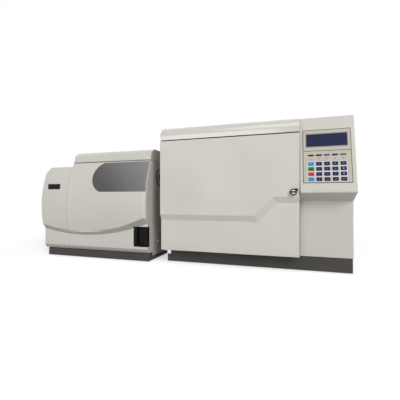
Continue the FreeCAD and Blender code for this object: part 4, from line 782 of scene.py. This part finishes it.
def makeLampShape():
    look = lampLook
    lens = centredBox("lampLensShape", look["length"], look["deep"], look["height"])
    pick(lens, "EDGE", lambda middle, along: abs(along.y) > shortEdge)
    bpy.ops.mesh.bevel(offset=look["height"] / 2 * look["round"], segments=8, affect="EDGES")
    done()
    pick(lens, "FACE", facesFront)
    bpy.ops.mesh.bevel(offset=look["edge"], segments=3, affect="EDGES")
    done()
    smoothOff(lens, angle=50)
    return lens


def makeLampsRow():
    lens = makeLampShape()
    dark, pale = [], []
    for column in range(keyColumns):
        piece = copyPiece(lens, "statusLens%d" % (column + 1))
        x, down = keyPlace(0, column)
        layOnSlope(piece, x, lampLook["out"] - lampLook["deep"] / 2,
                   overlayLook["divider"] + overlayLook["lampDrop"])
        (pale if column in lampLook["pale"] else dark).append(piece)
    bpy.data.objects.remove(lens)
    joinTo(*dark)
    joinTo(*pale)
    dark[0].name, pale[0].name = "statusLensesDark", "statusLensesPale"
    finishPiece(dark[0], "cabinet", "lamp_purple", lampLens, "status_lamps")
    finishPiece(pale[0], "cabinet", "lamp_purple", lampPale)


makeLampsRow()
print("lamps made")


# oven door: pressed skin with the raised field
doorLook = {
    "left": -0.0565, "right": 0.4225, "low": 0.051, "top": 0.4454, "back": -0.236, "lower": -0.271, "upper": -0.281,
    "reliefLow": 0.161, "reliefHigh": 0.224, "turn": 0.35, "rise": 0.409, "bevelRise": 0.02, "bevelShift": 0.012,
    "fold": 0.0018, "sharp": 12, "post": 0.026, "latchSide": 0.0364, "ledge": 0.016, "skin": 0.004, "past": 0.01,
    "slack": 0.001, "bore": 0.0033, "boreSides": 24, "pin": (-0.0445, -0.253), "pinLong": 0.052,
    "shaft": (0.4035, -0.255, 0.259), "shaftLong": 0.08,
}


def makeDoor():
    look = doorLook
    left, right, slack = look["left"], look["right"], look["slack"]
    door = startBox("ovenDoorSkin", (left, look["lower"], look["low"]), (right, look["back"], look["top"]))
    first = (left + look["turn"], look["reliefLow"])
    second = (left + look["rise"], look["reliefHigh"])
    along = Vector((second[0] - first[0], 0, second[1] - first[1])).normalized()
    cuts = [((0, 0, look["reliefLow"]), (0, 0, 1)), ((0, 0, look["reliefHigh"]), (0, 0, 1)),
            ((first[0], 0, first[1]), (-along.z, 0, along.x))]
    for place, normal in cuts:
        pick(door, "FACE", facesFront)
        bpy.ops.mesh.bisect(plane_co=place, plane_no=normal)
        done()

    def raised(middle):
        aside = (middle.x - first[0]) * -along.z + (middle.z - first[1]) * along.x
        return middle.z > look["reliefHigh"] or (middle.z > look["reliefLow"] and aside > 0)

    # the raised field stands out, then its lower rim moves up and aside to slope the step
    pick(door, "FACE", lambda middle, facing: facesFront(middle, facing) and raised(middle))
    bpy.ops.mesh.extrude_region_move(TRANSFORM_OT_translate={"value": (0, look["upper"] - look["lower"], 0)})
    done()
    front = look["upper"] + slack / 2
    pick(door, "VERT", lambda place, none: place.y < front and place.z < look["reliefHigh"] + slack)
    shift(0, 0, look["bevelRise"])
    done()
    rimTop = look["reliefHigh"] + look["bevelRise"] + slack
    pick(door, "VERT", lambda place, none: place.y < front and place.z < rimTop
         and left + look["past"] < place.x < right - look["past"])
    shift(-look["bevelShift"], 0, 0)
    done()
    pick(door, "VERT", everything)
    bpy.ops.mesh.select_mode(type="EDGE")
    bpy.ops.mesh.dissolve_limited(angle_limit=math.radians(0.5))
    bpy.ops.mesh.select_all(action="DESELECT")
    bpy.ops.mesh.edges_select_sharp(sharpness=math.radians(look["sharp"]))
    bpy.ops.mesh.bevel(offset=look["fold"], segments=4, affect="EDGES", clamp_overlap=True)
    done()
    hollow = startBox("doorHollow", (left + look["post"], look["lower"] + look["skin"], look["low"] + look["ledge"]),
                      (right - look["latchSide"], look["back"] + look["past"], look["top"] - look["ledge"]))
    carve(door, hollow)
    pinHoles = [startTube("pinHole", (*look["pin"], z), look["bore"], look["pinLong"], "Z", look["boreSides"])
                for z in (look["low"], look["top"])]
    shaftHole = startTube("shaftHole", look["shaft"], look["bore"], look["shaftLong"], "Y", look["boreSides"])
    carve(door, *pinHoles, shaftHole)
    smoothOff(door, angle=24)
    finishPiece(door, "oven_door", "cabinet_paint", cabinetPaint, "oven_door")


makeDoor()
print("oven door made")

# folded and moulded shells with their edges rounded
shellEdges = {
    # node: (edge, body, slot, finish)
    "gc_top_cover": (0.0012, "top_lid", "moulded_shell", glossLid),
    "ms_top_cover": (0.0012, "cabinet", "moulded_shell", glossLid),
    "ms_front_cover": (0.0013, "front_cover", "moulded_shell", mouldedShell),
    "ms_window": (0.0007, "front_cover", "smoked_window", smokedWindow),
    "ms_grip": (0.0012, "front_cover", "black_plastic", blackMoulding),
    "pod_shell": (0.0013, "cabinet", "moulded_shell", mouldedShell),
    "gc_plinth": (0.0008, "cabinet", "plinth_dark", plinthPaint),
    "ms_plinth": (0.0008, "cabinet", "plinth_dark", plinthPaint),
    "gc_right_panel": (0.0006, "cabinet", "cabinet_paint", cabinetPaint),
    "gc_left_panel": (0.0006, "cabinet", "cabinet_paint", cabinetPaint),
    "gc_rear_panel": (0.0005, "cabinet", "cabinet_paint", cabinetPaint),
    "gc_front_frame": (0.0005, "cabinet", "deck_steel", deckPaint),
    "ms_side_panel": (0.0006, "cabinet", "cabinet_paint", sidePaintShaded),
    "switch_bezel": (0.0006, "cabinet", "black_plastic", blackMoulding),
    "power_rocker_1": (0.0006, "rocker_1", "black_plastic", knobBlack),
    "power_rocker_2": (0.0006, "rocker_2", "black_plastic", knobBlack),
    "door_latch_knob": (0.0006, "door_latch", "knob_black", knobBlack),
}
# smoothing angles of the shells on which a slight fold keeps its crisp edge
crispShells = {"ms_front_cover": 14, "pod_shell": 14, "ms_top_cover": 18, "gc_top_cover": 18}


def makeShells():
    for node, (edge, body, slotName, finish) in shellEdges.items():
        piece = softCopy(node, edge, angle=crispShells.get(node, 32))
        finishPiece(piece, body, slotName, finish, node)


makeShells()
print("shells made:", len(shellEdges))


# port of the transfer line: a thin black bead round a painted plate
portLook = {"bead": 0.0026, "beadOut": 0.0034, "beadEdge": 0.00119, "plateOut": 0.002, "plateIn": 0.00156,
            "plateRim": 0.0052, "plateEdge": 0.0004, "cone": 0.0016, "hole": 0.0163, "collar": 0.0196,
            "collarEdge": 0.0009, "through": 4, "sides": 96, "holeSides": 64}


def makePort():
    look = portLook
    low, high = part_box("transfer_port_ring")
    centre = ((low[0] + high[0]) / 2, (low[1] + high[1]) / 2, (low[2] + high[2]) / 2)
    radius, depth = (high[1] - low[1]) / 2, high[0] - low[0]
    through, sides, holeSides = depth * look["through"], look["sides"], look["holeSides"]
    bead = startTube("portBead", (low[0] + look["beadOut"] / 2, centre[1], centre[2]), radius, look["beadOut"], "X",
                     sides)
    carve(bead, startTube("beadHole", centre, radius - look["bead"], through, "X", sides))
    softEdges(bead, look["beadEdge"])
    collar = startTube("portCollar", centre, look["collar"], depth, "X", holeSides)
    carve(collar, startTube("collarHole", centre, look["hole"], through, "X", holeSides))
    softEdges(collar, look["collarEdge"])
    joinTo(bead, collar)
    finishPiece(bead, "cabinet", "black_plastic", blackMoulding, "transfer_port_ring")
    plate = startTube("portPlate", (low[0] + look["plateOut"] / 2, centre[1], centre[2]), radius - look["plateIn"],
                      look["plateOut"], "X", sides)
    pick(plate, "FACE", lambda middle, normal: normal.x > squareOn)
    bpy.ops.mesh.inset(thickness=look["plateRim"], depth=0)
    shift(look["cone"], 0, 0)
    done()
    carve(plate, startTube("portHole", centre, look["hole"], through, "X", holeSides))
    softEdges(plate, look["plateEdge"], segments=2, angle=20)
    # the plate takes the side panel's darker paint, painted shade
    finishPiece(plate, "cabinet", "cabinet_paint", sidePaintShaded)


makePort()
print("port made")

# brow: the rounded lower rim of the detector's top cover, over the window, with a black strip under it as painted
# shadow
browLook = {"left": -0.4565, "right": -0.1105, "low": 0.3848, "high": 0.3945, "out": 0.003, "sunk": 0.008,
            "round": 0.0028, "shadowStripLow": 0.3832, "shadowStripOut": 0.0014, "shadowStripLap": 0.0004, "shadowStripEdge": 0.0005}


def makeBrow():
    look = browLook
    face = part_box("ms_top_cover")[0][1]
    brow = startBox("topBrow", (look["left"], face - look["out"], look["low"]),
                    (look["right"], face + look["sunk"], look["high"]))
    pick(brow, "EDGE", lambda middle, along: middle.y < face and abs(along.y) < shortEdge)
    bpy.ops.mesh.bevel(offset=look["round"], segments=6, affect="EDGES", clamp_overlap=True)
    done()
    smoothOff(brow, angle=50)
    finishPiece(brow, "cabinet", "moulded_shell", glossLid)
    # a black strip under it is painted shadow: it stands for the shade in the gap to the front cover
    shadowStrip = startBox("topShadowStrip", (look["left"], face - look["shadowStripOut"], look["shadowStripLow"]),
                      (look["right"], face + look["sunk"] / 2, look["low"] + look["shadowStripLap"]))
    pick(shadowStrip, "EDGE", lambda middle, along: middle.y < face and abs(along.x) > longEdge)
    bpy.ops.mesh.bevel(offset=look["shadowStripEdge"], segments=3, affect="EDGES", clamp_overlap=True)
    done()
    smoothOff(shadowStrip, angle=50)
    finishPiece(shadowStrip, "cabinet", "foot_rubber", footRubber)


makeBrow()
print("brow made")

# latch insert: a bright plate on the floor of the knob's well, its bar crosses it
insertLook = {"x": 0.4035, "y": -0.288, "z": 0.259, "radius": 0.0071, "thick": 0.0006, "rim": 0.0012,
              "dish": 0.0003}


def makeInsert():
    look = insertLook
    plate = startTube("latchInsert", (look["x"], look["y"] - look["thick"] / 2, look["z"]), look["radius"],
                      look["thick"])
    pick(plate, "FACE", facesFront)
    bpy.ops.mesh.inset(thickness=look["rim"], depth=0)
    shift(0, look["dish"], 0)
    done()
    smoothOff(plate, angle=30)
    finishPiece(plate, "door_latch", "hinge_steel", turnedMetal)


makeInsert()
print("latch insert made")

# panel screws: a domed head with a cross recess, modelled once
screwLook = {"radius": 0.0036, "high": 0.0017, "slotLong": 0.0042, "slotWide": 0.0009, "slotDeep": 0.0009,
             "dome": 0.00119}
screwPlaces = [
    # x, y, z, and the side that the head faces
    (-0.1075, -0.191, 0.070, "X"), (-0.1075, 0.252, 0.070, "X"), (-0.1075, 0.252, 0.345, "X"),
    (-0.043, 0.269, 0.064, "Y"), (0.263, 0.269, 0.064, "Y"), (0.570, 0.269, 0.064, "Y"),
    (-0.043, 0.269, 0.486, "Y"), (0.263, 0.269, 0.486, "Y"), (0.570, 0.269, 0.486, "Y"),
    (-0.570, 0.269, 0.355, "Y"), (-0.121, 0.269, 0.355, "Y"), (-0.570, 0.269, 0.050, "Y"),
]


def makeScrewShape():
    look = screwLook
    head = startTube("screwShape", (0, 0, look["high"] / 2), look["radius"], look["high"], "Z", 24)
    pick(head, "FACE", lambda middle, normal: normal.z > squareOn)
    bpy.ops.mesh.bevel(offset=look["dome"], segments=4, affect="EDGES")
    done()
    slots = [startBox("slotA", (-look["slotLong"] / 2, -look["slotWide"] / 2, look["high"] - look["slotDeep"]),
                      (look["slotLong"] / 2, look["slotWide"] / 2, look["high"] * 2)),
             startBox("slotB", (-look["slotWide"] / 2, -look["slotLong"] / 2, look["high"] - look["slotDeep"]),
                      (look["slotWide"] / 2, look["slotLong"] / 2, look["high"] * 2))]
    carve(head, *slots)
    smoothOff(head, angle=35)
    return head


def makeScrews():
    shape = makeScrewShape()
    heads = []
    for x, y, z, side in screwPlaces:
        head = copyPiece(shape, "panelScrew")
        wake(head)
        head.rotation_euler = (0, math.pi / 2, 0) if side == "X" else (-math.pi / 2, 0, 0)
        head.location = (x, y, z)
        settle()
        heads.append(head)
    bpy.data.objects.remove(shape)
    joinTo(*heads)
    heads[0].name = "panelScrews"
    finishPiece(heads[0], "cabinet", "hinge_steel", brightSteel)


makeScrews()
print("screws made:", len(screwPlaces))


# camera, floor and light
cameraLook = {"place": (0.3835, -1.2096, 0.239), "yaw": 17.2, "pitch": 0.0, "lens": 25.2, "shiftY": -0.00425,
              "clip": 0.01}
bpy.ops.object.camera_add(location=cameraLook["place"],
                          rotation=(math.radians(90 + cameraLook["pitch"]), 0, math.radians(cameraLook["yaw"])))
camera = bpy.context.object
camera.name = "photoCamera"
camera.data.lens = cameraLook["lens"]
camera.data.shift_y = cameraLook["shiftY"]
camera.data.clip_start = cameraLook["clip"]
bpy.context.scene.camera = camera

stageLook = {"floor": (0.6, 0.6, 0.6), "size": 60, "liftNear": 0.56, "liftFar": 0.85, "fadeFrom": 0.7, "fadeTo": 2.2,
             "world": 0.26}
white = (1, 1, 1, 1)


def makeFloor():
    # a pale floor that brightens to the background away from the part
    look = stageLook
    bpy.ops.mesh.primitive_plane_add(size=look["size"], location=(0, 0, 0))
    floor = bpy.context.object
    floor.name = "floor"
    material, shader = startMaterial("paleFloor", Base_Color=rgba(look["floor"]), Roughness=0.9,
                                     Specular_IOR_Level=0.1)
    tree = material.node_tree
    rays = addNode(tree, "ShaderNodeLightPath")
    glow = addNode(tree, "ShaderNodeEmission", Color=white)
    lift = addNode(tree, "ShaderNodeMath", "MULTIPLY")
    seen = addNode(tree, "ShaderNodeMath", "MAXIMUM")
    place = addNode(tree, "ShaderNodeTexCoord")
    away = addNode(tree, "ShaderNodeVectorMath", "LENGTH")
    fade = addNode(tree, "ShaderNodeMapRange", From_Min=look["fadeFrom"], From_Max=look["fadeTo"],
                   To_Min=look["liftNear"], To_Max=look["liftFar"])
    fade.interpolation_type = "SMOOTHSTEP"
    both = addNode(tree, "ShaderNodeAddShader")
    linkUp(tree, (place, "Object", away, 0), (away, "Value", fade, "Value"), (rays, "Is Camera Ray", seen, 0),
           (rays, "Is Glossy Ray", seen, 1), (seen, "Value", lift, 0), (fade, "Result", lift, 1),
           (lift, "Value", glow, "Strength"), (shader, "BSDF", both, 0), (glow, "Emission", both, 1),
           (both, "Shader", tree.nodes["Material Output"], "Surface"))
    floor.data.materials.append(material)


def makeWorld():
    # white for the camera and in reflections, softer as a light
    world = bpy.data.worlds.new("studio")
    bpy.context.scene.world = world
    world.use_nodes = True
    tree = world.node_tree
    back = tree.nodes["Background"]
    back.inputs["Color"].default_value = white
    rays = addNode(tree, "ShaderNodeLightPath")
    seen = addNode(tree, "ShaderNodeMath", "MAXIMUM")
    shiny = addNode(tree, "ShaderNodeMath", "MAXIMUM")
    level = addNode(tree, "ShaderNodeMapRange", To_Min=stageLook["world"], To_Max=1)
    linkUp(tree, (rays, "Is Camera Ray", seen, 0), (rays, "Is Transmission Ray", seen, 1), (seen, "Value", shiny, 0),
           (rays, "Is Glossy Ray", shiny, 1), (shiny, "Value", level, "Value"), (level, "Result", back, "Strength"))


lamps = {
    "keySoft": {"place": (4.35, -4.83, 4.0), "aim": (0, 0, 0.25), "size": 3.0, "power": 318},
    "fillSoft": {"place": (-1.7, -6.8, 2.1), "aim": (0, 0, 0.25), "size": 4.0, "power": 126},
    "topSoft": {"place": (0.3, -2.6, 5.4), "aim": (0, 0, 0.4), "size": 3.0, "power": 45},
}


def makeLamps():
    for name, look in lamps.items():
        bpy.ops.object.light_add(type="AREA", location=look["place"])
        lamp = bpy.context.object
        lamp.name = name
        lamp.data.shape = "DISK"
        lamp.data.size = look["size"]
        lamp.data.energy = look["power"]
        aim = Vector(look["aim"]) - Vector(look["place"])
        lamp.rotation_euler = aim.to_track_quat("-Z", "Y").to_euler()


makeFloor()
makeWorld()
makeLamps()
bpy.context.scene.view_settings.view_transform = "Standard"
print("camera, floor and light set")


# end
bpy.ops.object.select_all(action="DESELECT")
